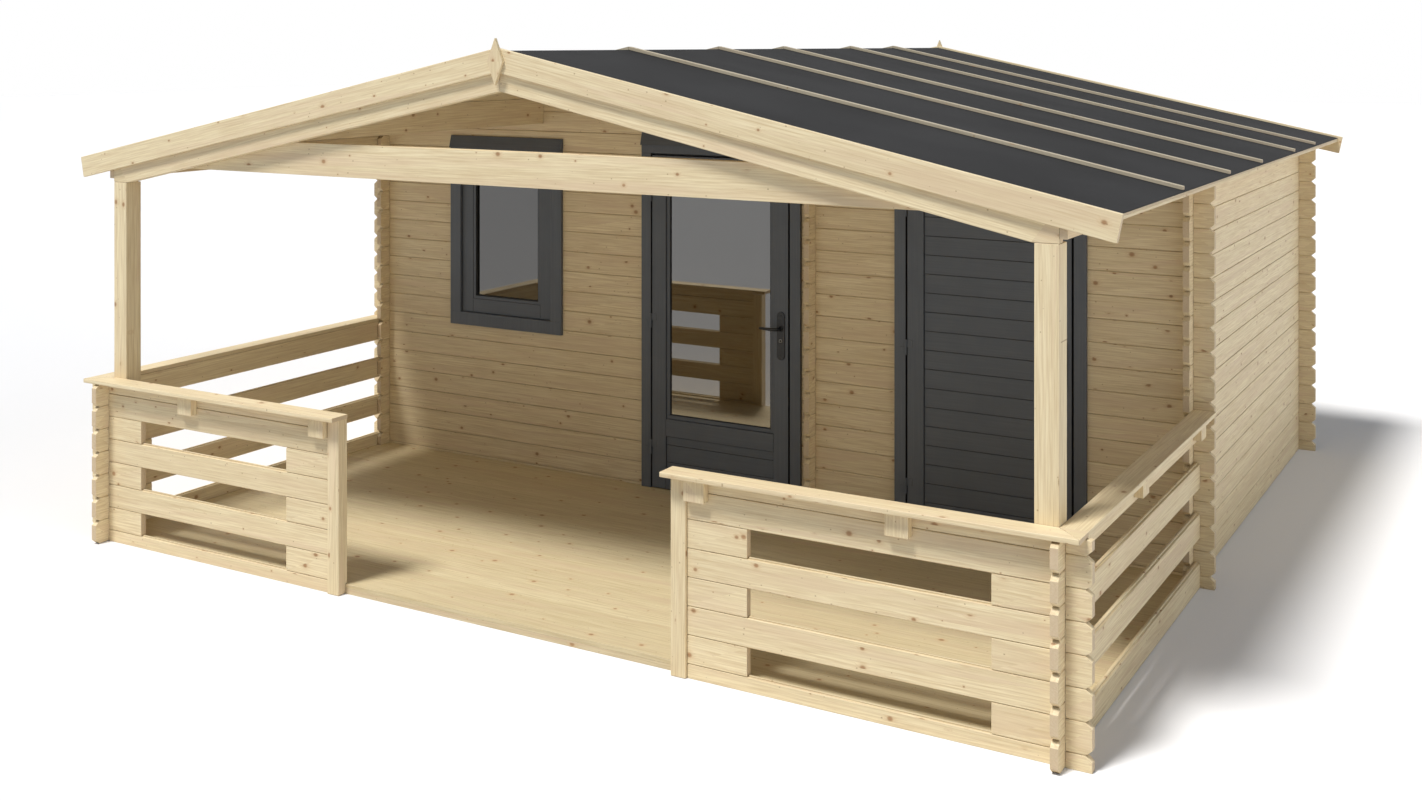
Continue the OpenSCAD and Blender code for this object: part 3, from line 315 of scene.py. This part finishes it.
def makeSteel(name, look):
    material, tree = newMaterial(name)
    place = addNode(tree, "ShaderNodeTexCoord").outputs["Object"]
    geometry = addNode(tree, "ShaderNodeNewGeometry")
    peel = addNode(tree, "ShaderNodeTexNoise", {"Vector": place, "Scale": 900.0, "Detail": 2.0}).outputs[0]
    dust = addNode(tree, "ShaderNodeTexNoise", {"Vector": place, "Scale": 60.0, "Detail": 4.0}).outputs[0]
    share = addNode(tree, "ShaderNodeMapRange", {"Value": dust, "From Min": 0.45, "From Max": 0.75}).outputs[0]
    tone = addNode(tree, "ShaderNodeMix", {0: share, 6: hexLinear(look["coat"]), 7: hexLinear(look["dust"])},
                   data_type="RGBA").outputs[2]
    rounded = addNode(tree, "ShaderNodeBevel", {"Radius": 0.0015}, samples=4).outputs[0]
    edge = addNode(tree, "ShaderNodeVectorMath", {0: rounded, 1: geometry.outputs["Normal"]},
                   operation="DOT_PRODUCT").outputs["Value"]
    edge = addNode(tree, "ShaderNodeMapRange", {"Value": edge, "From Min": 0.99, "From Max": 0.8,
                                               "To Max": 0.4}).outputs[0]
    tone = addNode(tree, "ShaderNodeMix", {0: edge, 6: tone, 7: hexLinear(look["worn"])}, data_type="RGBA").outputs[2]
    relief = addNode(tree, "ShaderNodeBump", {"Strength": 0.2, "Distance": 0.0002, "Height": peel,
                                             "Normal": rounded}).outputs[0]
    sheen = addNode(tree, "ShaderNodeMapRange", {"Value": dust, "To Min": 0.32, "To Max": 0.5}).outputs[0]
    surface = addNode(tree, "ShaderNodeBsdfPrincipled", {"Base Color": tone, "Roughness": sheen, "Normal": relief,
                                                        "IOR": 1.5})
    addNode(tree, "ShaderNodeOutputMaterial", {0: surface.outputs[0]})
    return material


# Extruded rubber gasket: black, matt, fine pores.
rubberLook = {"skin": "#0d0d0e", "bloom": "#1c1c1d", "pore": 0.002}


def makeRubber(name):
    look = rubberLook
    material, tree = newMaterial(name)
    place = addNode(tree, "ShaderNodeTexCoord").outputs["Object"]
    pores = addNode(tree, "ShaderNodeTexNoise", {"Vector": place, "Scale": 1 / look["pore"], "Detail": 3.0}).outputs[0]
    share = addNode(tree, "ShaderNodeMapRange", {"Value": pores, "From Min": 0.5, "From Max": 0.75}).outputs[0]
    tone = addNode(tree, "ShaderNodeMix", {0: share, 6: hexLinear(look["skin"]), 7: hexLinear(look["bloom"])},
                   data_type="RGBA").outputs[2]
    relief = addNode(tree, "ShaderNodeBump", {"Strength": 0.2, "Distance": 0.0002, "Height": pores}).outputs[0]
    surface = addNode(tree, "ShaderNodeBsdfPrincipled", {"Base Color": tone, "Roughness": 0.75, "Normal": relief,
                                                        "IOR": 1.52})
    addNode(tree, "ShaderNodeOutputMaterial", {0: surface.outputs[0]})
    return material


# Stainless steel, turned and brushed: pale grey, fine rings of the tool, soft highlights.
keyLook = {"metal": "#a9a9a6", "scratch": "#8c8c89", "line": 0.0006}


def makeKeySteel(name):
    look = keyLook
    material, tree = newMaterial(name)
    place = addNode(tree, "ShaderNodeTexCoord").outputs["Object"]
    lines = addNode(tree, "ShaderNodeTexNoise", {"Vector": place, "Scale": 1 / look["line"], "Detail": 2.0}).outputs[0]
    tone = addNode(tree, "ShaderNodeMix", {0: lines, 6: hexLinear(look["metal"]), 7: hexLinear(look["scratch"])},
                   data_type="RGBA").outputs[2]
    sheen = addNode(tree, "ShaderNodeMapRange", {"Value": lines, "To Min": 0.25, "To Max": 0.45}).outputs[0]
    surface = addNode(tree, "ShaderNodeBsdfPrincipled", {"Base Color": tone, "Metallic": 1.0, "Roughness": sheen})
    addNode(tree, "ShaderNodeOutputMaterial", {0: surface.outputs[0]})
    return material


pitch = math.radians(11.9)  # of both roof slopes
capTurn = -2.444  # the front cap rails end here, and the side ones begin
slopeAlong, slopeAcross = (math.cos(pitch), 0, -math.sin(pitch)), (math.sin(pitch), 0, math.cos(pitch))
spruceX = makeSpruce("planed_spruce_along_x", (1, 0, 0), (0, 0, 1), (0, 1, 0))
spruceY = makeSpruce("planed_spruce_along_y", (0, 1, 0), (0, 0, 1), (1, 0, 0))
spruceZ = makeSpruce("planed_spruce_upright", (0, 0, 1), (1, 0, 0), (0, 1, 0))
spruceSlope = makeSpruce("planed_spruce_down_slope", slopeAlong, slopeAcross, (0, 1, 0), fold=True)
spruceRoof = makeSpruce("planed_spruce_roof_boards", slopeAlong, (0, 1, 0), slopeAcross, fold=True)
spruceDeck = makeSpruce("planed_spruce_deck", (1, 0, 0), (0, 1, 0), (0, 0, 1), look=deckLook)
spruceBearer = makeSpruce("once_planed_spruce_bearers", (1, 0, 0), (0, 0, 1), (0, 1, 0), look=bearerLook)
spruceCap = makeSpruce("planed_spruce_caps", (1, 0, 0), (0, 1, 0), (0, 0, 1), turnAt=capTurn)
sawnSlope = makeSpruce("sawn_spruce_battens", slopeAlong, (0, 1, 0), slopeAcross, fold=True, look=sawnLook)
paintX = makePaint("brushed_anthracite_along_x", (1, 0, 0))
paintZ = makePaint("brushed_anthracite_upright", (0, 0, 1))
# the window's copies paint that shade over a narrower reach
windowX = makePaint("brushed_anthracite_window_rails", (1, 0, 0), paintLook["windowShadeReach"])
windowZ = makePaint("brushed_anthracite_window_stiles", (0, 0, 1), paintLook["windowShadeReach"])
felt = makeFelt("slate_faced_felt")
windowGlass = makeGlass("float_glass_double", glassLook["window"])
doorGlass = makeGlass("float_glass_triple", glassLook["door"])
steel = makeSteel("powder_coated_steel", steelLook)
leverSteel = makeSteel("powder_coated_levers", leverLook)
# the black rubber also serves as painted shade: in the door gaps, beside the glass and in the keyholes
rubberAndShade = makeRubber("black_rubber_and_shade")
keySteel = makeKeySteel("turned_stainless_steel")
print("stage: materials made")

scene = bpy.context.scene


def easeEdges(piece, radius):
    if radius:
        bevel = piece.modifiers.new("easedEdges", "BEVEL")
        bevel.width, bevel.segments, bevel.limit_method = radius, 2, "ANGLE"
        bevel.angle_limit = math.radians(50)  # only true corners are eased
    level = piece.modifiers.new("levelFaces", "WEIGHTED_NORMAL")
    level.mode, level.weight, level.keep_sharp = "FACE_AREA", 100, False


# each CAD node that stays in sight: its material and the radius of its eased edges in metres
finishes = {
    spruceX: {"front_wall_left": 0.001, "front_wall_middle": 0.001, "front_wall_right": 0.001, "front_gable": 0.001,
              "rear_wall": 0.001, "front_left_railing": 0.0015, "front_right_railing": 0.0015, "tie_beam": 0.003},
    spruceBearer: {"floor_bearers": 0.001},
    spruceY: {"left_wall": 0.001, "right_wall": 0.001, "partition_wall": 0.001, "left_railing": 0.0015,
              "right_railing": 0.0015, "ridge_purlin": 0.003, "mid_purlins": 0.003, "eave_beams": 0.003},
    spruceZ: {"veranda_posts": 0.003, "entrance_posts": 0.003, "cap_brackets": 0.002, "ridge_finials": 0.002},
    spruceSlope: {"front_rafters": 0.003, "barge_boards": 0.003},
    sawnSlope: {"roof_battens": 0.001},
    spruceCap: {"cap_rails": 0.003},
    paintX: {"drip_caps": 0.001},
    windowZ: {"window_casing": 0.001},
    paintZ: {"glazed_door_casing": 0.001, "store_door_casing": 0.001, "frame_hinges": 0.0005,
             "glazed_door_hinges": 0.0005, "store_door_hinges": 0.0005},
    felt: {"roof_felt": 0.0005},
    windowGlass: {"window_glass": 0},
    doorGlass: {"glazed_door_glass": 0},
    steel: {"glazed_door_plates": 0.001, "store_door_plates": 0.001},
}
for material, members in finishes.items():
    for name, ease in members.items():
        node = nodes[name]
        node.data.materials.clear()
        node.data.materials.append(material)
        weld = node.modifiers.new("joinFaces", "WELD")
        weld.merge_threshold = 0.00005  # the CAD's faces arrive apart
        easeEdges(node, ease)
print("stage: materials on", sum(len(m) for m in finishes.values()), "nodes")


def addPrism(grown, outline, axis, start, end, finish=0):  # outline in the two other axes, in their order
    rings = [[grown.verts.new(tuple(point[:axis]) + (at,) + tuple(point[axis:])) for point in outline]
             for at in (start, end)]
    faces = [grown.faces.new(rings[0]), grown.faces.new(rings[1])]
    for i in range(len(outline)):
        faces.append(grown.faces.new((rings[0][i - 1], rings[0][i], rings[1][i], rings[1][i - 1])))
    for face in faces:
        face.material_index = finish


def addBlock(grown, low, high, finish=0):
    addPrism(grown, [(low[0], low[1]), (high[0], low[1]), (high[0], high[1]), (low[0], high[1])], 2, low[2], high[2],
             finish)


def addRing(grown, x0, x1, z0, z1, width, y0, y1):  # four mitred bars in an upright frame
    outer = [(x0, z0), (x1, z0), (x1, z1), (x0, z1)]
    inner = [(x0 + width, z0 + width), (x1 - width, z0 + width), (x1 - width, z1 - width), (x0 + width, z1 - width)]
    for i in range(4):
        j = (i + 1) % 4
        addPrism(grown, [outer[i], outer[j], inner[j], inner[i]], 1, y0, y1, 1 - i % 2)


def addTube(grown, path, radii, sides=20):
    rings = []
    for i, (point, radius) in enumerate(zip(path, radii)):
        ahead = path[min(i + 1, len(path) - 1)] - path[max(i - 1, 0)]
        turn = ahead.to_track_quat("Z", "Y")
        rings.append([grown.verts.new(point + turn @ Vector((math.cos(a), math.sin(a), 0)) * radius)
                      for a in (2 * math.pi * k / sides for k in range(sides))])
    grown.faces.new(rings[0])
    grown.faces.new(rings[-1])
    for near, far in zip(rings, rings[1:]):
        for k in range(sides):
            grown.faces.new((near[k - 1], near[k], far[k], far[k - 1]))


def makePiece(name, grown, materials, body, replaced=(), ease=0.0):
    bmesh.ops.recalc_face_normals(grown, faces=grown.faces)
    mesh = bpy.data.meshes.new(name)
    grown.to_mesh(mesh)
    grown.free()
    mesh.shade_smooth()
    for material in materials:
        mesh.materials.append(material)
    piece = bpy.data.objects.new(name, mesh)
    scene.collection.objects.link(piece)
    easeEdges(piece, ease)
    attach(piece, body)
    if replaced:
        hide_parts(*replaced)


# tongued deck boards along the front, notched round the entrance posts and the log ends
deckBoards = {"boards": 21, "seam": 0.0006, "ease": 0.0008,
              "postNotch": (0.8726, 0.9414, -2.4316),  # near and far side of a post, and the notch's back
              "endNotch": (-0.5244, [(-2.5, -2.3896), (0.47234, 0.50314), (2.3896, 2.5)])}  # front, and spans in X
low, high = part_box("veranda_deck")
grown = bmesh.new()
stepY = (high.y - low.y) / deckBoards["boards"]
near, far, back = deckBoards["postNotch"]
for i in range(deckBoards["boards"]):
    y0, y1 = low.y + i * stepY + deckBoards["seam"] / 2, low.y + (i + 1) * stepY - deckBoards["seam"] / 2
    front, rear = [(low.x, y0), (high.x, y0)], [(high.x, y1), (low.x, y1)]
    if i == 0:
        front = [(low.x, y0), (-far, y0), (-far, back), (-near, back), (-near, y0),
                 (near, y0), (near, back), (far, back), (far, y0), (high.x, y0)]
    if i == deckBoards["boards"] - 1:
        cut, (left, middle, right) = deckBoards["endNotch"]
        rear = [(high.x, cut), (right[0], cut), (right[0], y1), (middle[1], y1), (middle[1], cut), (middle[0], cut),
                (middle[0], y1), (left[1], y1), (left[1], cut), (low.x, cut)]
    addPrism(grown, front + rear, 2, low.z, high.z)
makePiece("deck_boards", grown, [spruceDeck], "cabin", ["veranda_deck"], deckBoards["ease"])

# tongued floor boards of the two rooms
floorBoards = {"width": 0.095, "seam": 0.0006, "ease": 0.0008, "rooms": [(-2.3896, 0.47234), (0.50314, 2.3896)]}
low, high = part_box("cabin_floor")
grown = bmesh.new()
count = round((high.y - low.y) / floorBoards["width"])
stepY = (high.y - low.y) / count
for x0, x1 in floorBoards["rooms"]:
    for i in range(count):
        addBlock(grown, (x0, low.y + i * stepY + floorBoards["seam"] / 2, low.z),
                 (x1, low.y + (i + 1) * stepY - floorBoards["seam"] / 2, high.z))
makePiece("room_floor_boards", grown, [spruceDeck], "cabin", ["cabin_floor"], floorBoards["ease"])
print("stage: floors laid")

# roof boards down each slope, rebated at the eave for a lath that ties their ends
roofBoards = {"width": 0.0955, "seam": 0.0008, "ease": 0.0018, "edge": 2.617, "ridge": 0.0002, "thick": 0.0192,
              "lathWide": 0.026, "lathThick": 0.0105, "lathEase": 0.0008, "under": 2.4278,
              "slack": 0.0002, "lathSlack": 0.0003}  # clear of the felt and the purlins, and of the lath
low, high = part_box("roof_boards")
count = round((high.y - low.y) / roofBoards["width"])
stepY = (high.y - low.y) / count
edge, ridge, thick = roofBoards["edge"], roofBoards["ridge"], roofBoards["thick"]
lathX, lathZ = edge - roofBoards["lathWide"], roofBoards["lathThick"]
slack, lathSlack = roofBoards["slack"], roofBoards["lathSlack"]


def underRoof(x, rise):
    return (x, roofBoards["under"] + slack - abs(x) * math.tan(pitch) + rise)


boards, laths = bmesh.new(), bmesh.new()
for side in (1, -1):
    section = [underRoof(x * side, rise) for x, rise in (
        (ridge, 0), (lathX, 0), (lathX, lathZ + lathSlack), (edge, lathZ + lathSlack), (edge, thick - slack),
        (ridge, thick - slack))]
    for i in range(count):
        addPrism(boards, section, 1, low.y + i * stepY + roofBoards["seam"] / 2,
                 low.y + (i + 1) * stepY - roofBoards["seam"] / 2)
    addPrism(laths, [underRoof(x * side, rise) for x, rise in (
        (lathX + lathSlack, 0), (edge, 0), (edge, lathZ), (lathX + lathSlack, lathZ))], 1, low.y, high.y)
makePiece("sloping_roof_boards", boards, [spruceRoof], "cabin", ["roof_boards"], roofBoards["ease"])
makePiece("eave_laths", laths, [spruceY], "cabin", [], roofBoards["lathEase"])

# tongues that stand on the logs where a railing is open
railTongues = {"wide": 0.010, "high": 0.006, "sunk": 0.0008, "ease": 0.0026, "course": 0.113,
               "sideX": 2.435, "sideRows": (1, 3, 5), "sideY": (-2.2092, -0.4472),
               "frontY": -2.460, "frontRows": (0.5, 2.5, 4.5), "frontX": (1.2088, 2.1842)}
alongY, alongX = bmesh.new(), bmesh.new()
half = railTongues["wide"] / 2
for side in (1, -1):
    for row in railTongues["sideRows"]:
        z, x = row * railTongues["course"] - railTongues["sunk"], side * railTongues["sideX"]
        ends = railTongues["sideY"]
        addBlock(alongY, (x - half, ends[0], z), (x + half, ends[1], z + railTongues["high"]))
    for row in railTongues["frontRows"]:
        z, y = row * railTongues["course"] - railTongues["sunk"], railTongues["frontY"]
        ends = sorted(side * x for x in railTongues["frontX"])
        addBlock(alongX, (ends[0], y - half, z), (ends[1], y + half, z + railTongues["high"]))
makePiece("side_rail_tongues", alongY, [spruceY], "cabin", [], railTongues["ease"])
makePiece("front_rail_tongues", alongX, [spruceBearer], "cabin", [], railTongues["ease"])
print("stage: roof boards and tongues fitted")

# leaves and sash: stiles run through, rails butt between them, mitred beads hold the glass
# shy: stands back from the CAD's edge; set: bead behind the face; pane: its faces behind the face
doorLeaf = {"paints": [paintZ, paintX], "shy": 0.004, "stile": 0.090, "bead": 0.020, "set": 0.009,
            "pane": (0.018, 0.022)}
leaves = {
    "glazed_door": dict(doorLeaf, node="glazed_door_leaf", body="glazed_door",
                        rails=[(0, 0.090), (0.287, 0.380), (1.7315, 1.8215)], glazed=[1]),
    "store_door": dict(doorLeaf, node="store_door_leaf", body="store_door",
                       rails=[(0, 0.090), (1.7315, 1.8215)], glazed=[]),
    "window": {"paints": [windowZ, windowX], "shy": 0.0, "stile": 0.078, "bead": 0.016, "set": 0.002,
               "pane": (0.020, 0.024), "node": "window_sash", "body": "cabin",
               "rails": [(0, 0.078), (0.825, 0.903)], "glazed": [0]},
}
glazing = {"joint": 0.0014, "lip": 0.006, "beadSlack": 0.0004, "lipSlack": 0.0002, "lipSet": 0.004,
           "frameEase": 0.0008, "gasketEase": 0.0006}
joint, beadSlack, lipSlack, lipSet = (glazing[key] for key in ("joint", "beadSlack", "lipSlack", "lipSet"))
for name, leaf in leaves.items():
    low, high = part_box(leaf["node"])
    x0, x1 = low.x + leaf["stile"], high.x - leaf["stile"]
    shy = leaf["shy"]
    grown, gasketAndShade = bmesh.new(), bmesh.new()
    addBlock(grown, (low.x + shy, low.y, low.z), (x0, high.y, high.z - shy))
    addBlock(grown, (x1, low.y, low.z), (high.x - shy, high.y, high.z - shy))
    for z0, z1 in leaf["rails"]:
        addBlock(grown, (x0 + joint, low.y, low.z + z0), (x1 - joint, high.y, min(low.z + z1, high.z - shy)), 1)
    for i in leaf["glazed"]:
        z0, z1 = low.z + leaf["rails"][i][1], low.z + leaf["rails"][i + 1][0]
        front, back = low.y + leaf["pane"][0], low.y + leaf["pane"][1]
        for y0, y1 in ((low.y + leaf["set"], front - beadSlack), (back + beadSlack, high.y)):
            addRing(grown, x0 + joint, x1 - joint, z0 + joint, z1 - joint, leaf["bead"], y0, y1)
        # black rubber gaskets line the reveal beside the glass: real on sealed units, and here also painted shade that
        # darkens that reveal
        reveal = leaf["bead"] + lipSlack
        for y0, y1 in ((low.y + leaf["set"] + lipSet, front - lipSlack), (back + lipSlack, high.y - lipSet)):
            addRing(gasketAndShade, x0 + reveal, x1 - reveal, z0 + reveal, z1 - reveal, glazing["lip"], y0, y1)
    makePiece(name + "_frame", grown, leaf["paints"], leaf["body"], [leaf["node"]],
              glazing["frameEase"])
    if leaf["glazed"]:
        makePiece(name + "_gasket", gasketAndShade, [rubberAndShade, rubberAndShade], leaf["body"], [],
                  glazing["gasketEase"])
    else:
        gasketAndShade.free()

# painted stop in the gap round the window sash
windowStop = {"gap": 0.004, "slit": 0.0006, "set": 0.0025, "ease": 0.0005}
low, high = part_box("window_sash")
grown, reach = bmesh.new(), windowStop["gap"] - windowStop["slit"]
addRing(grown, low.x - reach, high.x + reach, low.z - reach, high.z + reach, reach - windowStop["slit"],
        low.y + windowStop["set"], high.y)
makePiece("window_stop", grown, [windowZ, windowX], "cabin", [], windowStop["ease"])

# black rubber seals, as real seals and as painted shade that makes the gaps round the leaves black: a strip round each
# leaf's edge and one on the lining that faces it, over 5 mm apart
shadeSeals = {"thick": 0.0007, "step": 0.001, "gap": 0.0065, "ease": 0.0002, "doors": ("glazed_door", "store_door")}
for body in shadeSeals["doors"]:
    low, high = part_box(leaves[body]["node"])
    y0, y1, thick, gap = low.y + shadeSeals["step"], high.y - shadeSeals["step"], shadeSeals["thick"], shadeSeals["gap"]
    moving, fixed = bmesh.new(), bmesh.new()
    shy = leaves[body]["shy"]
    for x in (low.x + shy - thick, high.x - shy):
        addBlock(moving, (x, y0, low.z), (x + thick, y1, high.z - shy))
    addBlock(moving, (low.x + shy, y0, high.z - shy), (high.x - shy, y1, high.z - shy + thick))
    for x in (low.x - gap, high.x + gap - thick):
        addBlock(fixed, (x, y0, low.z), (x + thick, y1, high.z + gap - thick))
    addBlock(fixed, (low.x - gap, y0, high.z + gap - thick), (high.x + gap, y1, high.z + gap))
    makePiece(body + "_leaf_shade_seal", moving, [rubberAndShade], body, [], shadeSeals["ease"])
    makePiece(body + "_lining_shade_seal", fixed, [rubberAndShade], "cabin", [], shadeSeals["ease"])

# boards across the doors, each with a shadow groove to the next
doorBoards = {"pitch": 0.0947, "groove": 0.0024, "deep": 0.006, "ease": 0.0007, "slit": 0.0015,
              "slack": 0.0004, "least": 0.01,  # the panel's slack under its rail, and the lowest board's least height
              "panels": {"glazed_door_panel": ("glazed_door", 0.048), "store_door_boards": ("store_door", 0.069)}}
for node, (body, topBoard) in doorBoards["panels"].items():
    low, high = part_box(node)
    seams = []
    z = high.z + doorBoards["slack"] - topBoard
    while z > low.z + doorBoards["least"]:
        seams.append(z)
        z -= doorBoards["pitch"]
    levels = [low.z] + seams[::-1] + [high.z - doorBoards["slit"]]
    grown = bmesh.new()
    deepY, groove = low.y + doorBoards["deep"], doorBoards["groove"] / 2
    for z0, z1 in zip(levels, levels[1:]):
        addPrism(grown, [(low.y, z0 + groove), (deepY, z0 + groove), (deepY, z0), (high.y, z0), (high.y, z1),
                         (deepY, z1), (deepY, z1 - groove), (low.y, z1 - groove)], 0, low.x + doorBoards["slit"],
                 high.x - doorBoards["slit"])
    makePiece(body + "_cladding", grown, [paintX], body, [node], doorBoards["ease"])
print("stage: leaves joined")

# key rims, black keyholes drawn as painted shade, and plate screws, in metres from the lever's axis or from the plate's
# face
keys = {"drop": 0.065, "rim": 0.0078, "wire": 0.0016, "proud": 0.0004, "steps": 32, "hole": 0.0036, "lift": 0.0016,
        "slot": [(0.0014, -0.0074), (-0.0014, -0.0074)], "sunk": 0.0002, "raised": 0.0003,
        "screwDrops": (0.066, -0.146), "screwY": (-0.0004, 0.0006, 0.0016, 0.0022),
        "screwRadii": (0.0046, 0.0045, 0.0034, 0.0012)}
# drop-forged levers on both faces, a neck that sweeps into a tapered arm
levers = {"neck": 0.0078, "collar": 0.0138, "arm": 0.0088, "tip": 0.0066, "bend": 0.016, "reach": 0.052,
          "length": 0.106, "thick": 0.040, "plate": 0.006, "droop": 0.004, "blunt": 0.0003,
          "collarEnd": 0.012, "shoulder": (0.0135, 0.0125), "neckStart": 0.0145,  # distances out from the leaf
          "spindle": 0.0065, "spindleY": (-0.0062, 0.02, 0.0462), "bendSteps": 8, "armSteps": 10, "tipSteps": 5,
          "sets": {"glazed": (0.31239, "glazed_door_lever"), "store": (1.81848, "store_door_lever")},
          "axisZ": 0.990, "face": -0.466}
for name, (axisX, node) in levers["sets"].items():
    grown = bmesh.new()
    for turned in (False, True):
        path, radii = [], []
        for out, radius in ((levers["plate"], levers["collar"]), (levers["collarEnd"], levers["collar"]),
                            levers["shoulder"], (levers["neckStart"], levers["neck"]),
                            (levers["reach"] - levers["bend"], levers["neck"])):
            path.append((0.0, -out))
            radii.append(radius)
        for k in range(1, levers["bendSteps"] + 1):
            a = math.pi / 2 * k / levers["bendSteps"]
            path.append((-levers["bend"] * (1 - math.cos(a)), -levers["reach"] + levers["bend"] * (1 - math.sin(a))))
            radii.append(levers["neck"] + (levers["arm"] - levers["neck"]) * k / levers["bendSteps"])
        for k in range(1, levers["armSteps"] + 1):
            share = k / levers["armSteps"]
            path.append((-levers["bend"] - (levers["length"] - levers["bend"] - levers["tip"]) * share,
                         -levers["reach"] + levers["droop"] * share ** 3))
            radii.append(levers["arm"] + (levers["tip"] - levers["arm"]) * share)
        for k in range(1, levers["tipSteps"] + 1):
            a = math.pi / 2 * k / levers["tipSteps"]
            path.append((path[-k][0] - levers["tip"] * math.sin(a), path[-k][1]))
            radii.append(max(levers["tip"] * math.cos(a), levers["blunt"]))
        points = [Vector((axisX + x, levers["face"] + (levers["thick"] - y if turned else y), levers["axisZ"]))
                  for x, y in path]
        addTube(grown, points, radii)
    addTube(grown, [Vector((axisX, levers["face"] + y, levers["axisZ"])) for y in levers["spindleY"]],
            [levers["spindle"]] * 3)
    makePiece(name + "_lever_handles", grown, [leverSteel], name + "_lever", [node])

    rims, screws = bmesh.new(), bmesh.new()
    for out, face in ((-1, levers["face"] - levers["plate"]), (1, levers["face"] + levers["thick"] + levers["plate"])):
        centre = Vector((axisX, face, levers["axisZ"] - keys["drop"]))
        # painted shade: the keyhole is a flat black shape standing proud of the plate where the lock's hollow would be
        hole = [(keys["hole"] * math.sin(a), keys["hole"] * math.cos(a))
                for a in (math.radians(k) for k in range(-150, 151, 25))] + keys["slot"]
        addPrism(rims, [(axisX + x, centre.z + keys["lift"] + z) for x, z in hole], 1,
                 face - keys["sunk"] * out, face + keys["raised"] * out, 1)
        turns = [2 * math.pi * k / keys["steps"] for k in range(keys["steps"] + 1)]
        addTube(rims, [centre + Vector((keys["rim"] * math.cos(a), keys["proud"] * out, keys["rim"] * math.sin(a)))
                       for a in turns], [keys["wire"]] * len(turns), 10)
        for drop in keys["screwDrops"]:
            head = Vector((axisX, face, levers["axisZ"] + drop))
            addTube(screws, [head + Vector((0, out * y, 0)) for y in keys["screwY"]], keys["screwRadii"])
    makePiece(name + "_key_rims", rims, [keySteel, rubberAndShade], name + "_door")
    makePiece(name + "_plate_screws", screws, [steel], name + "_door")
print("stage: handles fitted")

# studio: white floor and surroundings, one soft lamp from the front left above, weak ones from right and front
studio = {
    # strength, width in degrees and direction of travel
    "lamps": {"softSun": (3.25, 14.0, (0.2, 0.5, -1.0)), "sideLight": (0.72, 60.0, (-1.0, 0.12, -0.2)),
              "frontLight": (0.08, 16.0, (0.1, 1.0, -0.14))},
    "sky": 0.235, "skyTint": "#d4e6ff", "floor": "#f3f1ef", "floorHalf": 60, "floorZ": -0.0005,
    "sensor": 36, "lens": 39.375, "shift": -0.2508, "eye": (4.063, -7.694, 2.481), "turn": (90, 0, 30.004),
}
half, z = studio["floorHalf"], studio["floorZ"]
mesh = bpy.data.meshes.new("floor")
mesh.from_pydata([(-half, -half, z), (half, -half, z), (half, half, z), (-half, half, z)], [], [(0, 1, 2, 3)])
floor = bpy.data.objects.new("floor", mesh)
scene.collection.objects.link(floor)
material, tree = newMaterial("matt_white_floor")
place = addNode(tree, "ShaderNodeTexCoord").outputs["Object"]
mottle = addNode(tree, "ShaderNodeTexNoise", {"Vector": place, "Scale": 0.6}).outputs[0]
mottle = addNode(tree, "ShaderNodeMapRange", {"Value": mottle, "To Min": 0.9, "To Max": 1.0}).outputs[0]
surface = addNode(tree, "ShaderNodeBsdfDiffuse", {"Color": hexLinear(studio["floor"]), "Roughness": mottle})
addNode(tree, "ShaderNodeOutputMaterial", {0: surface.outputs[0]})
mesh.materials.append(material)

for name, (power, width, travel) in studio["lamps"].items():
    lamp = bpy.data.lights.new(name, "SUN")
    lamp.energy, lamp.angle = power, math.radians(width)
    shining = bpy.data.objects.new(name, lamp)
    shining.rotation_euler = Vector(travel).to_track_quat("-Z", "Y").to_euler()
    scene.collection.objects.link(shining)

world = bpy.data.worlds.new("whiteStudio")
scene.world = world
world.use_nodes = True
tree = world.node_tree
tree.nodes.clear()
path = addNode(tree, "ShaderNodeLightPath").outputs
# what the eye or a mirror meets is plain white; the light that falls on things is weaker and cooler
seen = addNode(tree, "ShaderNodeMath", {0: path["Is Camera Ray"], 1: path["Is Glossy Ray"]},
               operation="MAXIMUM").outputs[0]
seen = addNode(tree, "ShaderNodeMath", {0: seen, 1: path["Is Transmission Ray"]}, operation="MAXIMUM").outputs[0]
level = addNode(tree, "ShaderNodeMapRange", {"Value": seen, "To Min": studio["sky"], "To Max": 1.0}).outputs[0]
tone = addNode(tree, "ShaderNodeMix", {0: seen, 6: hexLinear(studio["skyTint"]), 7: hexLinear("#ffffff")},
               data_type="RGBA").outputs[2]
sky = addNode(tree, "ShaderNodeBackground", {"Color": tone, "Strength": level})
addNode(tree, "ShaderNodeOutputWorld", {0: sky.outputs[0]})

camera = bpy.data.cameras.new("camera")
camera.sensor_width, camera.lens, camera.shift_y = studio["sensor"], studio["lens"], studio["shift"]
viewer = bpy.data.objects.new("camera", camera)
viewer.location = studio["eye"]
viewer.rotation_euler = [math.radians(angle) for angle in studio["turn"]]
scene.collection.objects.link(viewer)
scene.camera = viewer
scene.view_settings.view_transform = "Standard"
print("stage: studio ready")
